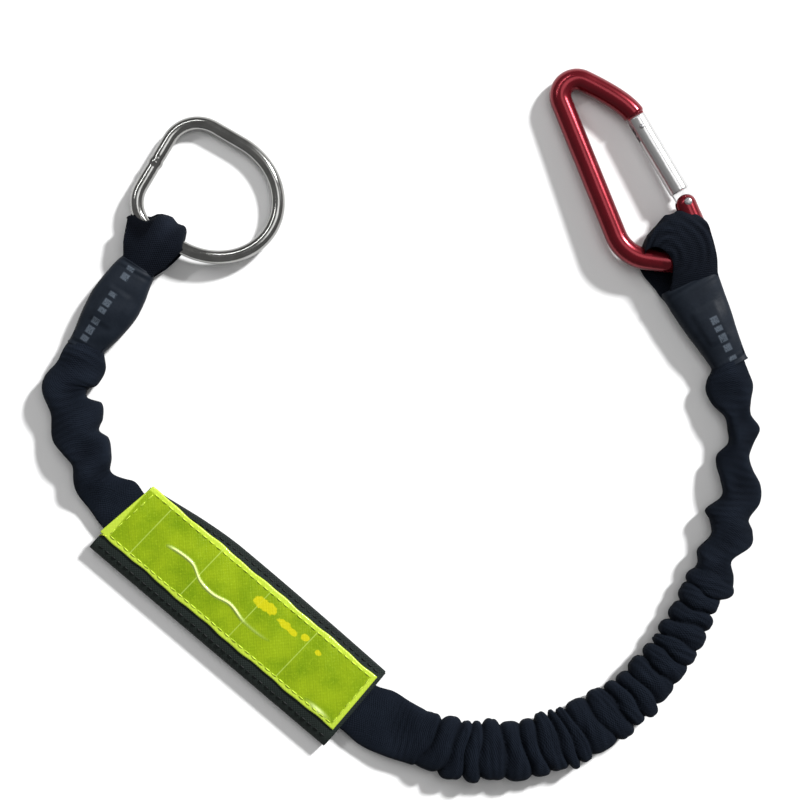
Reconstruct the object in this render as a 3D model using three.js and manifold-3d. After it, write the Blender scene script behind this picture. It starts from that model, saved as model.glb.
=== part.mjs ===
// Shock absorbing lanyard: elastic tubular webbing with a welded D-ring at one end, a small
// accessory carabiner at the other and a hook-and-loop sleeve with reflective tape on it.
// Millimetres, +Z up. The lanyard lies flat on the plane z = 0, in an open U.
// The origin is the middle of the sleeve's underside.

import * as THREE from 'three';
import * as BufferGeometryUtils from 'three/addons/utils/BufferGeometryUtils.js';
import Module from 'manifold-3d';

const wasm = await Module();
wasm.setup();

// ---------------------------------------------------------------- driving dimensions

const CLEARANCE = 0.4;          // gap kept between neighbouring pieces
const ROD_SIDES = 12;           // sides of every round bar
const STEP = 6;                 // spacing of the sections along the webbing

const WEBBING_WIDTH = 20;       // gathered tubular webbing
const WEBBING_THICKNESS = 9;
const WEBBING_WALL = 2.6;       // gathered cover cloth
const FLAT_WIDTH = 19.5;        // the same webbing where it lies flat in the sleeve
const FLAT_THICKNESS = 3.4;
const FLAT_WALL = 0.9;
const ELASTIC_WIDTH = 11;       // rubber core
const ELASTIC_THICKNESS = 2.6;
const FLAT_ELASTIC_THICKNESS = 0.9;

const SLEEVE_LENGTH = 112;
const SLEEVE_WIDTH = 34.5;
const SLEEVE_ANGLE = -40.3;     // degrees, direction of the sleeve's length
const FABRIC = 1.0;             // sleeve cloth
const STRIP_WIDTH = 4.2;        // hook strip and loop strip in the free edge
const STRIP_THICKNESS = 0.9;
const TAPE_LENGTH = 109;
const TAPE_WIDTH = 25;
const TAPE_THICKNESS = 0.6;
const TAPE_OFFSET = 2;          // the tape sits nearer to the free edge
const TAPE_SKEW = 4;            // the ring end of the tape is cut on the slant
const STITCH_INSET = 2.6;
const STITCH_WIDTH = 0.8;
const STITCH_HEIGHT = 0.5;

const TUBE_WIDTH = 18;          // heat-shrink tube over the sewn ends
const TUBE_HEIGHT = 9.6;
const TUBE_WALL = 1;
const SEWN_WIDTH = 12.5;        // webbing folded back and sewn, inside the tube
const SEWN_HEIGHT = 5;
const TACK_LENGTH = 14;
const TACK_WIDTH = 7;
const TACK_HEIGHT = 0.8;
const NECK_RADIUS = 2.8;        // half the thickness of the webbing between tube and eye
const EYE_WALL = 2.5;           // webbing round the bar

const RING_WIRE = 5;            // D-ring wire diameter
const RING_WIDTH = 44;          // across the wire's middle line
const RING_DEPTH = 48.6;
const RING_SHOULDER = 23.6;       // depth at which the sides turn into the far arc
const RING_CORNER = 12;
const RING_ANGLE = -120;        // degrees, direction of the straight bar

const ROD = 8;                  // carabiner bar diameter
const SPINE_OFFSET = 17.5;      // spine line to the middle of the eye corner
const EYE_CORNER = 10.4;        // radius of the corner that sits in the webbing eye
const HEEL_RADIUS = 14;         // radius of the corner between spine and eye corner
const CROWN_RADIUS = 6;         // radius at the top of the spine
const CROWN_HEIGHT = 58.8;      // middle of that radius above the eye corner
const GATE_DIAMETER = 7.4;
const GATE_LENGTH = 36.5;       // hinge to tip
const CARABINER_ANGLE = 21.8;   // degrees, the spine's lean
const BLADE = 2.8;              // thickness of the flats inside the gate's slots
const SLOT_DEPTH = 9;
const RIVET = 2.4;
const LATCH_PIN = 1.8;
const SPRING_DIAMETER = 2.6;
const PLUNGER_START = 4;        // distance from the hinge to the plunger

// Middle line of the webbing from the ring-end tube to the carabiner-end tube.
const ROUTE = [
  [-54.5, 96.7], [-59, 89.5], [-62, 82], [-61, 74.5], [-59, 67.5], [-56.5, 61], [-54.5, 55],
  [-52.5, 48.5], [-48.5, 42.3], [-43, 37], [-21.5, 18.9], [0.5, 0.6], [22.4, -17.8],
  [43.6, -35.4], [56, -43.4], [70, -48.8], [88.5, -51.5], [107, -50.5], [125.5, -44],
  [143, -32], [157, -17], [165.5, -1.5], [172.5, 13], [177.5, 28], [181, 44], [182.5, 61],
  [181.5, 76], [179, 90.5],
];
// Distances along the webbing.
const RING_BEND = 52;           // bend of the ring-side webbing
const CARABINER_BEND = 200;     // bend of the flat webbing beyond the sleeve
const STRETCH_START = 305;      // start of the webbing that lengthens under load

// ---------------------------------------------------------------- materials

const finish = (color, roughness, metalness) =>
  new THREE.MeshStandardMaterial({ color, roughness, metalness });

const STEEL = finish(0xb9bbbd, 0.15, 1);
const RED_ALUMINIUM = finish(0x9c1522, 0.28, 0.8);
const SATIN_ALUMINIUM = finish(0xc9cacc, 0.3, 1);
const SPRING_STEEL = finish(0x8e9092, 0.35, 1);
const WEBBING = finish(0x161c25, 0.9, 0);
const RUBBER = finish(0x2a2a28, 0.8, 0);
const SHRINK = finish(0x252d38, 0.45, 0);
const SLEEVE_CLOTH = finish(0x20282a, 0.85, 0);
const HOOK_CLOTH = finish(0x101112, 0.95, 0);
const TACK_THREAD = finish(0x0e0f12, 0.7, 0);
const TAPE_PVC = finish(0xa9c818, 0.25, 0);
const TAPE_THREAD = finish(0xd8ea3c, 0.6, 0);

// ---------------------------------------------------------------- solids

const radians = THREE.MathUtils.degToRad;
const lanyard = new THREE.Group();

function toSolid(geometry) {
  const bare = geometry.clone();
  bare.deleteAttribute('normal');
  bare.deleteAttribute('uv');
  const merged = BufferGeometryUtils.mergeVertices(bare, 1e-4);
  const mesh = new wasm.Mesh({
    numProp: 3,
    vertProperties: new Float32Array(merged.attributes.position.array),
    triVerts: new Uint32Array(merged.index.array),
  });
  return new wasm.Manifold(mesh);
}

function toGeometry(solid) {
  const mesh = solid.getMesh();
  const geometry = new THREE.BufferGeometry();
  geometry.setAttribute('position', new THREE.BufferAttribute(mesh.vertProperties, 3));
  geometry.setIndex(new THREE.BufferAttribute(mesh.triVerts, 1));
  return geometry;
}

function join(...geometries) {
  return toGeometry(geometries.map(toSolid).reduce((whole, piece) => whole.add(piece)));
}

function cut(geometry, ...tools) {
  const start = toSolid(geometry);
  return toGeometry(tools.map(toSolid).reduce((whole, tool) => whole.subtract(tool), start));
}

function add(name, geometry, material, place = new THREE.Matrix4()) {
  const mesh = new THREE.Mesh(geometry, material);
  mesh.name = name;
  mesh.applyMatrix4(place);
  lanyard.add(mesh);
}

// An outline drawn along `direction` (x) and upwards (y), extruded sideways from `origin`.
function uprightFrame(direction, origin) {
  const up = new THREE.Vector3(0, 0, 1);
  const side = new THREE.Vector3().crossVectors(direction, up);
  return new THREE.Matrix4().makeBasis(direction, up, side).setPosition(origin);
}

function extrude(shape, depth) {
  return new THREE.ExtrudeGeometry(shape, { depth, bevelEnabled: false, curveSegments: 6 });
}

function polygon(points) {
  return new THREE.Shape(points.map(([x, y]) => new THREE.Vector2(x, y)));
}

function slot(x0, x1, middle, height) {
  const path = new THREE.Path();
  const r = height / 2;
  path.absarc(x1 - r, middle, r, -Math.PI / 2, Math.PI / 2);
  path.absarc(x0 + r, middle, r, Math.PI / 2, 1.5 * Math.PI);
  path.closePath();
  return path;
}

// A band of the given thickness that follows a line of points in a section.
function strip(points, thickness) {
  const line = points.map(([x, y]) => new THREE.Vector2(x, y));
  const offset = (i, side) => {
    const before = line[Math.max(i - 1, 0)];
    const after = line[Math.min(i + 1, line.length - 1)];
    const along = after.clone().sub(before).normalize();
    const normal = new THREE.Vector2(-along.y, along.x);
    return line[i].clone().addScaledVector(normal, side * thickness / 2);
  };
  const lower = line.map((_, i) => offset(i, -1));
  const upper = line.map((_, i) => offset(i, 1)).reverse();
  return new THREE.Shape([...lower, ...upper]);
}

// A round bar along a flat outline.
function bar(points, diameter, steps) {
  const curve = new THREE.CatmullRomCurve3(points.map((p) => new THREE.Vector3(p.x, p.y, 0)));
  return sweep(curve, diameter, ROD_SIDES, steps);
}

function sweep(curve, diameter, sides, steps) {
  const section = [];
  for (let i = 0; i < sides; i += 1) {
    const angle = 2 * Math.PI * (i + 0.5) / sides;
    section.push(new THREE.Vector2(Math.cos(angle), Math.sin(angle)).multiplyScalar(diameter / 2));
  }
  return new THREE.ExtrudeGeometry(new THREE.Shape(section),
    { steps, extrudePath: curve, bevelEnabled: false });
}

function upright(geometry, x, y, zLow, zHigh) {
  return geometry.rotateX(Math.PI / 2).translate(x, y, (zLow + zHigh) / 2);
}

function pin(diameter, x, y, zLow, zHigh) {
  const geometry = new THREE.CylinderGeometry(diameter / 2, diameter / 2, zHigh - zLow, ROD_SIDES);
  return upright(geometry, x, y, zLow, zHigh);
}

// ---------------------------------------------------------------- the webbing's route

const route = new THREE.CatmullRomCurve3(
  ROUTE.map(([x, y]) => new THREE.Vector3(x, y, 0)), false, 'centripetal');
route.arcLengthDivisions = 800;
const ROUTE_LENGTH = route.getLength();

// Place and direction at a distance along the route; past its ends it runs on straight.
function routeAt(distance) {
  const inside = THREE.MathUtils.clamp(distance, 0, ROUTE_LENGTH);
  const direction = route.getTangentAt(inside / ROUTE_LENGTH);
  const point = route.getPointAt(inside / ROUTE_LENGTH);
  return { point: point.addScaledVector(direction, distance - inside), direction };
}

// The tubes run straight on from the ends of the webbing to the fittings.
const RING_TUBE = {
  start: routeAt(0).point,
  direction: new THREE.Vector3(0.552, 0.834, 0).normalize(),
  length: 32,
};
const CARABINER_TUBE = {
  start: routeAt(ROUTE_LENGTH).point,
  direction: new THREE.Vector3(-0.455, 0.89, 0).normalize(),
  length: 30,
};

// The webbing meets a tube at an angle, so it stops far enough short for its corner to clear.
function mouthGap(tube, distance) {
  const turn = new THREE.Vector3().crossVectors(routeAt(distance).direction, tube.direction);
  return WEBBING_WIDTH / 2 * Math.abs(turn.z) + CLEARANCE;
}

const WEBBING_START = mouthGap(RING_TUBE, 0);
const WEBBING_END = ROUTE_LENGTH - mouthGap(CARABINER_TUBE, ROUTE_LENGTH);

// Outline of a band along the route; a rounded start turns about the point where it begins.
function bandOutline(from, to, halfWidth, roundStart) {
  const count = Math.max(1, Math.round((to - from) / STEP));
  const left = [];
  const right = [];
  for (let i = 0; i <= count; i += 1) {
    const { point, direction } = routeAt(from + (to - from) * i / count);
    left.push(new THREE.Vector2(point.x - direction.y * halfWidth,
      point.y + direction.x * halfWidth));
    right.push(new THREE.Vector2(point.x + direction.y * halfWidth,
      point.y - direction.x * halfWidth));
  }
  const start = [];
  if (roundStart) {
    const { point, direction } = routeAt(from);
    const heading = Math.atan2(direction.y, direction.x);
    for (let i = 1; i < 8; i += 1) {
      const angle = heading + Math.PI / 2 + Math.PI * i / 8;
      start.push(new THREE.Vector2(point.x + halfWidth * Math.cos(angle),
        point.y + halfWidth * Math.sin(angle)));
    }
  }
  return new THREE.Shape([...right, ...left.reverse(), ...start]);
}

function bandSlab(from, to, halfWidth, middle, thickness, roundStart = false) {
  const slab = extrude(bandOutline(from, to, halfWidth, roundStart), thickness);
  return slab.translate(0, 0, middle - thickness / 2);
}

// A length of tubular webbing: the cover, open at both ends, and the elastic inside it.
function webbingLength(name, from, to, { width, thickness, wall, elastic, middle, round }) {
  const overrun = width;
  const cover = bandSlab(from, to, width / 2, middle, thickness, round);
  const channel = bandSlab(from - overrun, to + overrun, width / 2 - wall, middle,
    thickness - 2 * wall);
  add(`${name}_webbing`, cut(cover, channel), WEBBING);
  const inset = round ? -ELASTIC_WIDTH / 2 : CLEARANCE;
  const core = bandSlab(from + inset + ELASTIC_WIDTH / 2 * round, to - CLEARANCE,
    ELASTIC_WIDTH / 2, middle, elastic, round);
  add(`${name}_elastic`, core, RUBBER);
}

const GATHERED = {
  width: WEBBING_WIDTH,
  thickness: WEBBING_THICKNESS,
  wall: WEBBING_WALL,
  elastic: ELASTIC_THICKNESS,
  middle: WEBBING_THICKNESS / 2,
  round: 0,
};
const FLAT_LEVEL = FABRIC + CLEARANCE + FLAT_THICKNESS / 2;
const FLAT = {
  width: FLAT_WIDTH,
  thickness: FLAT_THICKNESS,
  wall: FLAT_WALL,
  elastic: FLAT_ELASTIC_THICKNESS,
  middle: FLAT_LEVEL,
  round: 0,
};

// At each bend the moving length starts with a half disc about the bend's axis, and the fixed
// length stops short of that disc.
function makeWebbing() {
  const reach = WEBBING_WIDTH / 2 + CLEARANCE;
  makeRingSide();
  webbingLength('sleeve_section', RING_BEND + reach, CARABINER_BEND - reach, FLAT);
  webbingLength('carabiner_side', CARABINER_BEND, STRETCH_START, { ...GATHERED, round: 1 });
  webbingLength('stretch', STRETCH_START + CLEARANCE, WEBBING_END, GATHERED);
}

// The ring-side length turns about its far end, so it is drawn from that end backwards.
function makeRingSide() {
  const { point } = routeAt(RING_BEND);
  const disc = (radius, thickness, middle) =>
    pin(2 * radius, point.x, point.y, middle - thickness / 2, middle + thickness / 2);
  const middle = GATHERED.middle;
  const cover = join(
    bandSlab(WEBBING_START, RING_BEND, WEBBING_WIDTH / 2, middle, WEBBING_THICKNESS),
    disc(WEBBING_WIDTH / 2, WEBBING_THICKNESS, middle));
  const channel = bandSlab(-WEBBING_WIDTH, RING_BEND + WEBBING_WIDTH,
    WEBBING_WIDTH / 2 - WEBBING_WALL, middle, WEBBING_THICKNESS - 2 * WEBBING_WALL);
  add('ring_side_webbing', cut(cover, channel), WEBBING);
  add('ring_side_elastic', bandSlab(WEBBING_START + CLEARANCE, RING_BEND, ELASTIC_WIDTH / 2,
    middle, ELASTIC_THICKNESS), RUBBER);
}

// ---------------------------------------------------------------- sleeve and reflective tape

const sleeveAxis = new THREE.Vector3(
  Math.cos(radians(SLEEVE_ANGLE)), Math.sin(radians(SLEEVE_ANGLE)), 0);
const sleeveAcross = new THREE.Vector3(-sleeveAxis.y, sleeveAxis.x, 0);

// Sections across the sleeve, extruded along it and centred on its length.
function acrossSleeve(shape, length) {
  const start = sleeveAxis.clone().multiplyScalar(-length / 2);
  return [extrude(shape, length), uprightFrame(sleeveAcross, start)];
}

function makeSleeve() {
  const half = SLEEVE_WIDTH / 2;
  const top = FABRIC + FLAT_THICKNESS + 2 * CLEARANCE + FABRIC / 2;
  const stripInner = half - STRIP_WIDTH;
  const hookLow = FABRIC + CLEARANCE;
  const loopLow = hookLow + STRIP_THICKNESS + CLEARANCE;
  const edge = loopLow + STRIP_THICKNESS + CLEARANCE + FABRIC / 2;

  const back = polygon([[-half, 0], [half, 0], [half, FABRIC], [-half, FABRIC]]);
  const hook = polygon([[stripInner, hookLow], [half - 0.4, hookLow],
    [half - 0.4, hookLow + STRIP_THICKNESS], [stripInner, hookLow + STRIP_THICKNESS]]);
  const loop = polygon([[stripInner, loopLow], [half - 0.4, loopLow],
    [half - 0.4, loopLow + STRIP_THICKNESS], [stripInner, loopLow + STRIP_THICKNESS]]);
  const front = strip([[-half + 0.6, FABRIC + CLEARANCE + FABRIC / 2],
    [-half + 5, top], [stripInner - 1, top], [stripInner - 0.2, edge], [half, edge]], FABRIC);

  const stripLength = SLEEVE_LENGTH - 6;
  add('sleeve_back_panel', ...partOf(acrossSleeve(back, SLEEVE_LENGTH), SLEEVE_CLOTH));
  add('sleeve_hook_strip', ...partOf(acrossSleeve(hook, stripLength), HOOK_CLOTH));
  add('sleeve_loop_strip', ...partOf(acrossSleeve(loop, stripLength), HOOK_CLOTH));
  add('sleeve_front_panel', ...partOf(acrossSleeve(front, SLEEVE_LENGTH), SLEEVE_CLOTH));
  makeTape(Math.max(top, edge) + FABRIC / 2 + CLEARANCE);
}

function partOf([geometry, place], material) {
  return [geometry, material, place];
}

// Corners of the tape's outline moved in by `inset`, along the sleeve (x) and across it (y).
function tapeOutline(inset) {
  const end = TAPE_LENGTH / 2 - inset;
  const low = TAPE_OFFSET - TAPE_WIDTH / 2 + inset;
  const high = TAPE_OFFSET + TAPE_WIDTH / 2 - inset;
  return [[-end - TAPE_SKEW / 2, low], [end, low], [end, high], [-end + TAPE_SKEW / 2, high]];
}

function makeTape(level) {
  const flat = new THREE.Matrix4().makeRotationZ(radians(SLEEVE_ANGLE));
  const tape = extrude(polygon(tapeOutline(0)), TAPE_THICKNESS).translate(0, 0, level);
  add('reflective_tape', tape, TAPE_PVC, flat);
  const run = polygon(tapeOutline(STITCH_INSET));
  run.holes.push(polygon(tapeOutline(STITCH_INSET + STITCH_WIDTH)));
  const height = level + TAPE_THICKNESS + CLEARANCE;
  add('tape_stitching', extrude(run, STITCH_HEIGHT).translate(0, 0, height), TAPE_THREAD, flat);
}

// ---------------------------------------------------------------- sewn ends and eyes

const SEWN_MIDDLE = 4.5;        // height of the sewn webbing's middle

// One end of the lanyard. `start` is the tube's mouth on the route, `direction` points to the
// fitting, and distances are measured along it from there.
function makeEnd(name, start, direction, tubeLength, eye) {
  const side = new THREE.Vector3().crossVectors(direction, new THREE.Vector3(0, 0, 1));
  const place = (width, shift = 0) =>
    uprightFrame(direction, start.clone().addScaledVector(side, shift - width / 2));
  const block = (x0, x1, z0, z1) => polygon([[x0, z0], [x1, z0], [x1, z1], [x0, z1]]);

  const outer = extrude(block(CLEARANCE, tubeLength, 0, TUBE_HEIGHT), TUBE_WIDTH);
  const bore = extrude(block(-5, tubeLength + 5, TUBE_WALL, TUBE_HEIGHT - TUBE_WALL),
    TUBE_WIDTH - 2 * TUBE_WALL).translate(0, 0, TUBE_WALL);
  add(`${name}_shrink_tube`, cut(outer, bore), SHRINK, place(TUBE_WIDTH));

  const sewnTop = SEWN_MIDDLE + SEWN_HEIGHT / 2;
  const sewnEnd = eye.neck - NECK_RADIUS - CLEARANCE;
  const sewn = extrude(block(CLEARANCE, sewnEnd, SEWN_MIDDLE - SEWN_HEIGHT / 2, sewnTop),
    SEWN_WIDTH);
  add(`${name}_sewn_webbing`, sewn, WEBBING, place(SEWN_WIDTH));

  const tackStart = (tubeLength - TACK_LENGTH) / 2;
  const tack = extrude(block(tackStart, tackStart + TACK_LENGTH, sewnTop + CLEARANCE,
    sewnTop + CLEARANCE + TACK_HEIGHT), TACK_WIDTH);
  add(`${name}_bar_tack`, tack, TACK_THREAD, place(TACK_WIDTH));

  const wide = extrude(eyeOutline(eye), eye.width).translate(0, 0, eye.shift - eye.width / 2);
  const neck = extrude(neckOutline(eye), SEWN_WIDTH).translate(0, 0, -SEWN_WIDTH / 2);
  add(`${name}_eye`, join(wide, neck), WEBBING, uprightFrame(direction, start));
}

// The loop of webbing round the bar, seen from the side, with the slot that the bar runs in.
function eyeOutline({ slotStart, slotEnd, height }) {
  const level = 2 * EYE_WALL + height;
  const shape = new THREE.Shape();
  shape.moveTo(slotStart - EYE_WALL / 2, 0.6);
  shape.lineTo(slotStart + 2, 0);
  shape.lineTo(slotEnd - 2, 0);
  shape.lineTo(slotEnd + EYE_WALL, level * 0.3);
  shape.lineTo(slotEnd + EYE_WALL, level * 0.7);
  shape.lineTo(slotEnd - 2, level);
  shape.lineTo(slotStart + 2, level);
  shape.lineTo(slotStart - EYE_WALL / 2, level - 1.5);
  shape.holes.push(slot(slotStart, slotEnd, EYE_WALL + height / 2, height));
  return shape;
}

function neckOutline({ neck, slotStart }) {
  const shape = new THREE.Shape();
  const top = SEWN_MIDDLE + NECK_RADIUS;
  const bottom = SEWN_MIDDLE - NECK_RADIUS;
  shape.absarc(neck, SEWN_MIDDLE, NECK_RADIUS, Math.PI / 2, 1.5 * Math.PI);
  shape.lineTo(slotStart - CLEARANCE, bottom);
  shape.lineTo(slotStart - CLEARANCE, top);
  return shape;
}

// Puts a fitting whose bar is `level` high in the eye so that its far side rests on z = 0.
// `turned` turns the fitting flat, about the middle of the corner that sits in the eye.
function lieDown(line, turned, tube, middle, corner, radius) {
  const far = Math.max(...line.map((p) =>
    new THREE.Vector3(p.x, p.y, 0).applyMatrix4(turned).dot(tube.direction)));
  const tilt = Math.asin((middle.z - radius) / (far + corner));
  const axis = new THREE.Vector3(-tube.direction.y, tube.direction.x, 0);
  const place = new THREE.Matrix4().makeRotationAxis(axis, tilt).multiply(turned);
  return place.setPosition(middle.x, middle.y, middle.z - corner * Math.sin(tilt));
}

// ---------------------------------------------------------------- D-ring

const ringBar = new THREE.Vector3(
  Math.cos(radians(RING_ANGLE)), Math.sin(radians(RING_ANGLE)), 0);
const ringDepth = new THREE.Vector3(-ringBar.y, ringBar.x, 0);
const RING_EYE_HEIGHT = RING_WIRE + 2 * CLEARANCE;
const RING_LEVEL = EYE_WALL + RING_EYE_HEIGHT / 2;
const RING_MIDDLE = new THREE.Vector3(-24.6, 148.4, RING_LEVEL);

// Middle line of the wire, from one side of the weld round to the other. The bar lies along x
// and the corner that sits in the eye has its middle at the origin.
function ringLine() {
  const half = RING_WIDTH / 2;
  const corner = half - RING_CORNER;
  const weldGap = 0.3;
  const path = new THREE.Path();
  path.moveTo(weldGap, 0);
  path.lineTo(corner, 0);
  path.absarc(corner, RING_CORNER, RING_CORNER, -Math.PI / 2, 0);
  path.absellipse(0, RING_SHOULDER, half, RING_DEPTH - RING_SHOULDER, 0, Math.PI);
  path.lineTo(-half, RING_CORNER);
  path.absarc(-corner, RING_CORNER, RING_CORNER, Math.PI, 1.5 * Math.PI);
  path.lineTo(-weldGap, 0);
  return path.getSpacedPoints(64).map((p) => p.sub(new THREE.Vector2(corner, RING_CORNER)));
}

// The weld closes the wire in the middle of the straight bar.
function makeRing() {
  const wire = bar(ringLine(), RING_WIRE, 64);
  const weld = new THREE.SphereGeometry(RING_WIRE / 2 + 0.25, ROD_SIDES, 8);
  weld.scale(0.5, 1, 1).translate(RING_CORNER - RING_WIDTH / 2, -RING_CORNER, 0);
  const turned = new THREE.Matrix4().makeBasis(ringBar, ringDepth, new THREE.Vector3(0, 0, 1));
  const place = lieDown(ringLine(), turned, RING_TUBE, RING_MIDDLE, RING_CORNER, RING_WIRE / 2);
  add('d_ring', join(wire, weld), STEEL, place);
}

// ---------------------------------------------------------------- carabiner

const CARABINER_EYE_HEIGHT = ROD + 2 * CLEARANCE;
const CARABINER_LEVEL = EYE_WALL + CARABINER_EYE_HEIGHT / 2;
const CARABINER_MIDDLE = new THREE.Vector3(156.1, 137.1, CARABINER_LEVEL);

// The carabiner is drawn with its spine along y and the middle of its eye corner at the origin.
const HINGE = new THREE.Vector2(EYE_CORNER + 0.4, 7.5);
const GATE_LEAN = radians(8.5);
const gateLine = new THREE.Vector2(-Math.sin(GATE_LEAN), Math.cos(GATE_LEAN));
const KNUCKLE_END = ROD / 2 - 0.5;   // the forked end of the body runs this far past the hinge
const GATE_START = Math.hypot(ROD / 2, KNUCKLE_END) + CLEARANCE;

function onGate(along, across = 0) {
  return new THREE.Vector2(
    HINGE.x + gateLine.x * along + gateLine.y * across,
    HINGE.y + gateLine.y * along - gateLine.x * across);
}

function bodyLine() {
  const heelTurn = radians(60);
  const crownTurn = radians(140);
  const path = new THREE.Path();
  const knuckle = onGate(KNUCKLE_END);
  const nose = onGate(GATE_LENGTH + CLEARANCE);
  path.moveTo(knuckle.x, knuckle.y);
  path.lineTo(EYE_CORNER, 0);
  path.absarc(0, 0, EYE_CORNER, 0, -Math.PI / 2 - (Math.PI / 2 - heelTurn), true);
  const heelX = HEEL_RADIUS - SPINE_OFFSET;
  const start = new THREE.Vector2(-EYE_CORNER * Math.cos(heelTurn),
    -EYE_CORNER * Math.sin(heelTurn));
  const heelY = start.y + (start.x - heelX + HEEL_RADIUS * Math.cos(heelTurn))
    / Math.tan(heelTurn) + HEEL_RADIUS * Math.sin(heelTurn);
  path.absarc(heelX, heelY, HEEL_RADIUS, -Math.PI + heelTurn, -Math.PI, true);
  const crownX = CROWN_RADIUS - SPINE_OFFSET;
  path.lineTo(-SPINE_OFFSET, CROWN_HEIGHT);
  path.absarc(crownX, CROWN_HEIGHT, CROWN_RADIUS, Math.PI, Math.PI - crownTurn, true);
  const brow = onGate(GATE_LENGTH + 6.5);
  path.quadraticCurveTo(brow.x, brow.y, nose.x, nose.y);
  return path.getSpacedPoints(56);
}

// A plate between two points of the gate's line, lying in the carabiner's middle plane.
function plate(from, to, halfWidth, thickness) {
  const corners = [onGate(from, -halfWidth), onGate(to, -halfWidth),
    onGate(to, halfWidth), onGate(from, halfWidth)];
  return extrude(new THREE.Shape(corners.reverse()), thickness).translate(0, 0, -thickness / 2);
}

function makeCarabiner() {
  const turned = new THREE.Matrix4().makeRotationZ(radians(CARABINER_ANGLE));
  const place = lieDown(bodyLine(), turned, CARABINER_TUBE, CARABINER_MIDDLE, EYE_CORNER, ROD / 2);
  const slotHeight = BLADE + 2 * CLEARANCE;
  const gateRadius = GATE_DIAMETER / 2;
  const latchAlong = GATE_LENGTH - SLOT_DEPTH / 2;

  const bladeHalf = gateRadius - 0.6;
  const fork = plate(-bladeHalf - 2, ROD, ROD, slotHeight);
  const rivetHole = pin(RIVET + 2 * CLEARANCE, HINGE.x, HINGE.y, -ROD, ROD);
  const blade = plate(GATE_LENGTH - SLOT_DEPTH + 2.2, GATE_LENGTH + 3, bladeHalf, BLADE);
  const notchCentre = onGate(latchAlong, -1.5);
  const notch = join(
    pin(LATCH_PIN + 2 * CLEARANCE, onGate(latchAlong).x, onGate(latchAlong).y, -ROD, ROD),
    pin(LATCH_PIN + 2 * CLEARANCE, notchCentre.x, notchCentre.y, -ROD, ROD),
    plateAt(latchAlong, -gateRadius - 1, 0, LATCH_PIN + 2 * CLEARANCE, 2 * ROD));
  const body = cut(join(bar(bodyLine(), ROD, 56), blade), fork, rivetHole, notch);
  add('carabiner_body', body, RED_ALUMINIUM, place);

  const stock = bar([onGate(GATE_START), onGate(GATE_LENGTH / 2), onGate(GATE_LENGTH)],
    GATE_DIAMETER, 3);
  const tongue = join(plate(0, GATE_START + 1, bladeHalf, BLADE),
    pin(2 * bladeHalf, HINGE.x, HINGE.y, -BLADE / 2, BLADE / 2));
  const noseSlot = plate(GATE_LENGTH - SLOT_DEPTH, GATE_LENGTH + 5, ROD, slotHeight);
  const spring = SPRING_DIAMETER + 2 * CLEARANCE;
  const bore = bar([onGate(PLUNGER_START - CLEARANCE), onGate(10), onGate(16)], spring, 2);
  const latchHole = pin(LATCH_PIN + 2 * CLEARANCE, onGate(latchAlong).x, onGate(latchAlong).y,
    -ROD, ROD);
  add('gate', cut(join(stock, tongue), noseSlot, bore, rivetHole, latchHole), SATIN_ALUMINIUM,
    place);
  add('gate_rivet', pin(RIVET, HINGE.x, HINGE.y, -ROD / 2, ROD / 2), SATIN_ALUMINIUM, place);
  add('gate_latch_pin', pin(LATCH_PIN, onGate(latchAlong).x, onGate(latchAlong).y,
    -gateRadius + 0.8, gateRadius - 0.8), SPRING_STEEL, place);
  add('gate_plunger', bar([onGate(PLUNGER_START), onGate(5), onGate(PLUNGER_START + 3)],
    SPRING_DIAMETER, 2), SPRING_STEEL, place);
  add('gate_spring', springCoil(), SPRING_STEEL, place);
}

// A cut across the blade from the side that faces the spine.
function plateAt(along, from, to, width, thickness) {
  const corners = [onGate(along - width / 2, from), onGate(along + width / 2, from),
    onGate(along + width / 2, to), onGate(along - width / 2, to)];
  return extrude(new THREE.Shape(corners.reverse()), thickness).translate(0, 0, -thickness / 2);
}

// Compression spring behind the plunger, along the gate's line.
function springCoil() {
  const wire = 0.5;
  const turns = 5;
  const radius = SPRING_DIAMETER / 2 - wire / 2;
  class Helix extends THREE.Curve {
    getPoint(t, target = new THREE.Vector3()) {
      const angle = 2 * Math.PI * turns * t;
      const middle = onGate(7.6 + 7.6 * t, radius * Math.cos(angle));
      return target.set(middle.x, middle.y, radius * Math.sin(angle));
    }
  }
  return sweep(new Helix(), wire, 6, turns * 10);
}

// ---------------------------------------------------------------- assembly

// Distance from the tube's mouth to the outside of a bar that bends round `middle`.
function barDistance(tube, middle, radius) {
  return middle.clone().sub(tube.start).dot(tube.direction) - radius;
}

function makeEnds() {
  const ringBarAt = barDistance(RING_TUBE, RING_MIDDLE, RING_CORNER);
  makeEnd('ring_end', RING_TUBE.start, RING_TUBE.direction, RING_TUBE.length, {
    neck: RING_TUBE.length + NECK_RADIUS + 2 * CLEARANCE,
    slotStart: ringBarAt - RING_WIRE / 2 - 3.2,
    slotEnd: ringBarAt + RING_WIRE / 2 + 5,
    height: RING_EYE_HEIGHT,
    width: 18,
    shift: -1.7,
  });
  const carabinerBarAt = barDistance(CARABINER_TUBE, CARABINER_MIDDLE, EYE_CORNER);
  makeEnd('carabiner_end', CARABINER_TUBE.start, CARABINER_TUBE.direction,
    CARABINER_TUBE.length, {
      neck: CARABINER_TUBE.length + NECK_RADIUS + 2 * CLEARANCE,
      slotStart: carabinerBarAt - ROD / 2 - CLEARANCE,
      slotEnd: carabinerBarAt + ROD / 2 + 7,
      height: CARABINER_EYE_HEIGHT,
      width: 13,
      shift: -2.3,
    });
}

makeWebbing();
makeSleeve();
makeEnds();
makeRing();
makeCarabiner();

export default lanyard;
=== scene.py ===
"""A shock absorbing lanyard: gathered elastic webbing between a D-ring and a small carabiner,
with a hook-and-loop sleeve that carries a reflective tape. Metres, +Z up; the sleeve's
underside is the origin."""

import math

import bpy
import numpy as np
from mathutils import Matrix, Vector


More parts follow.
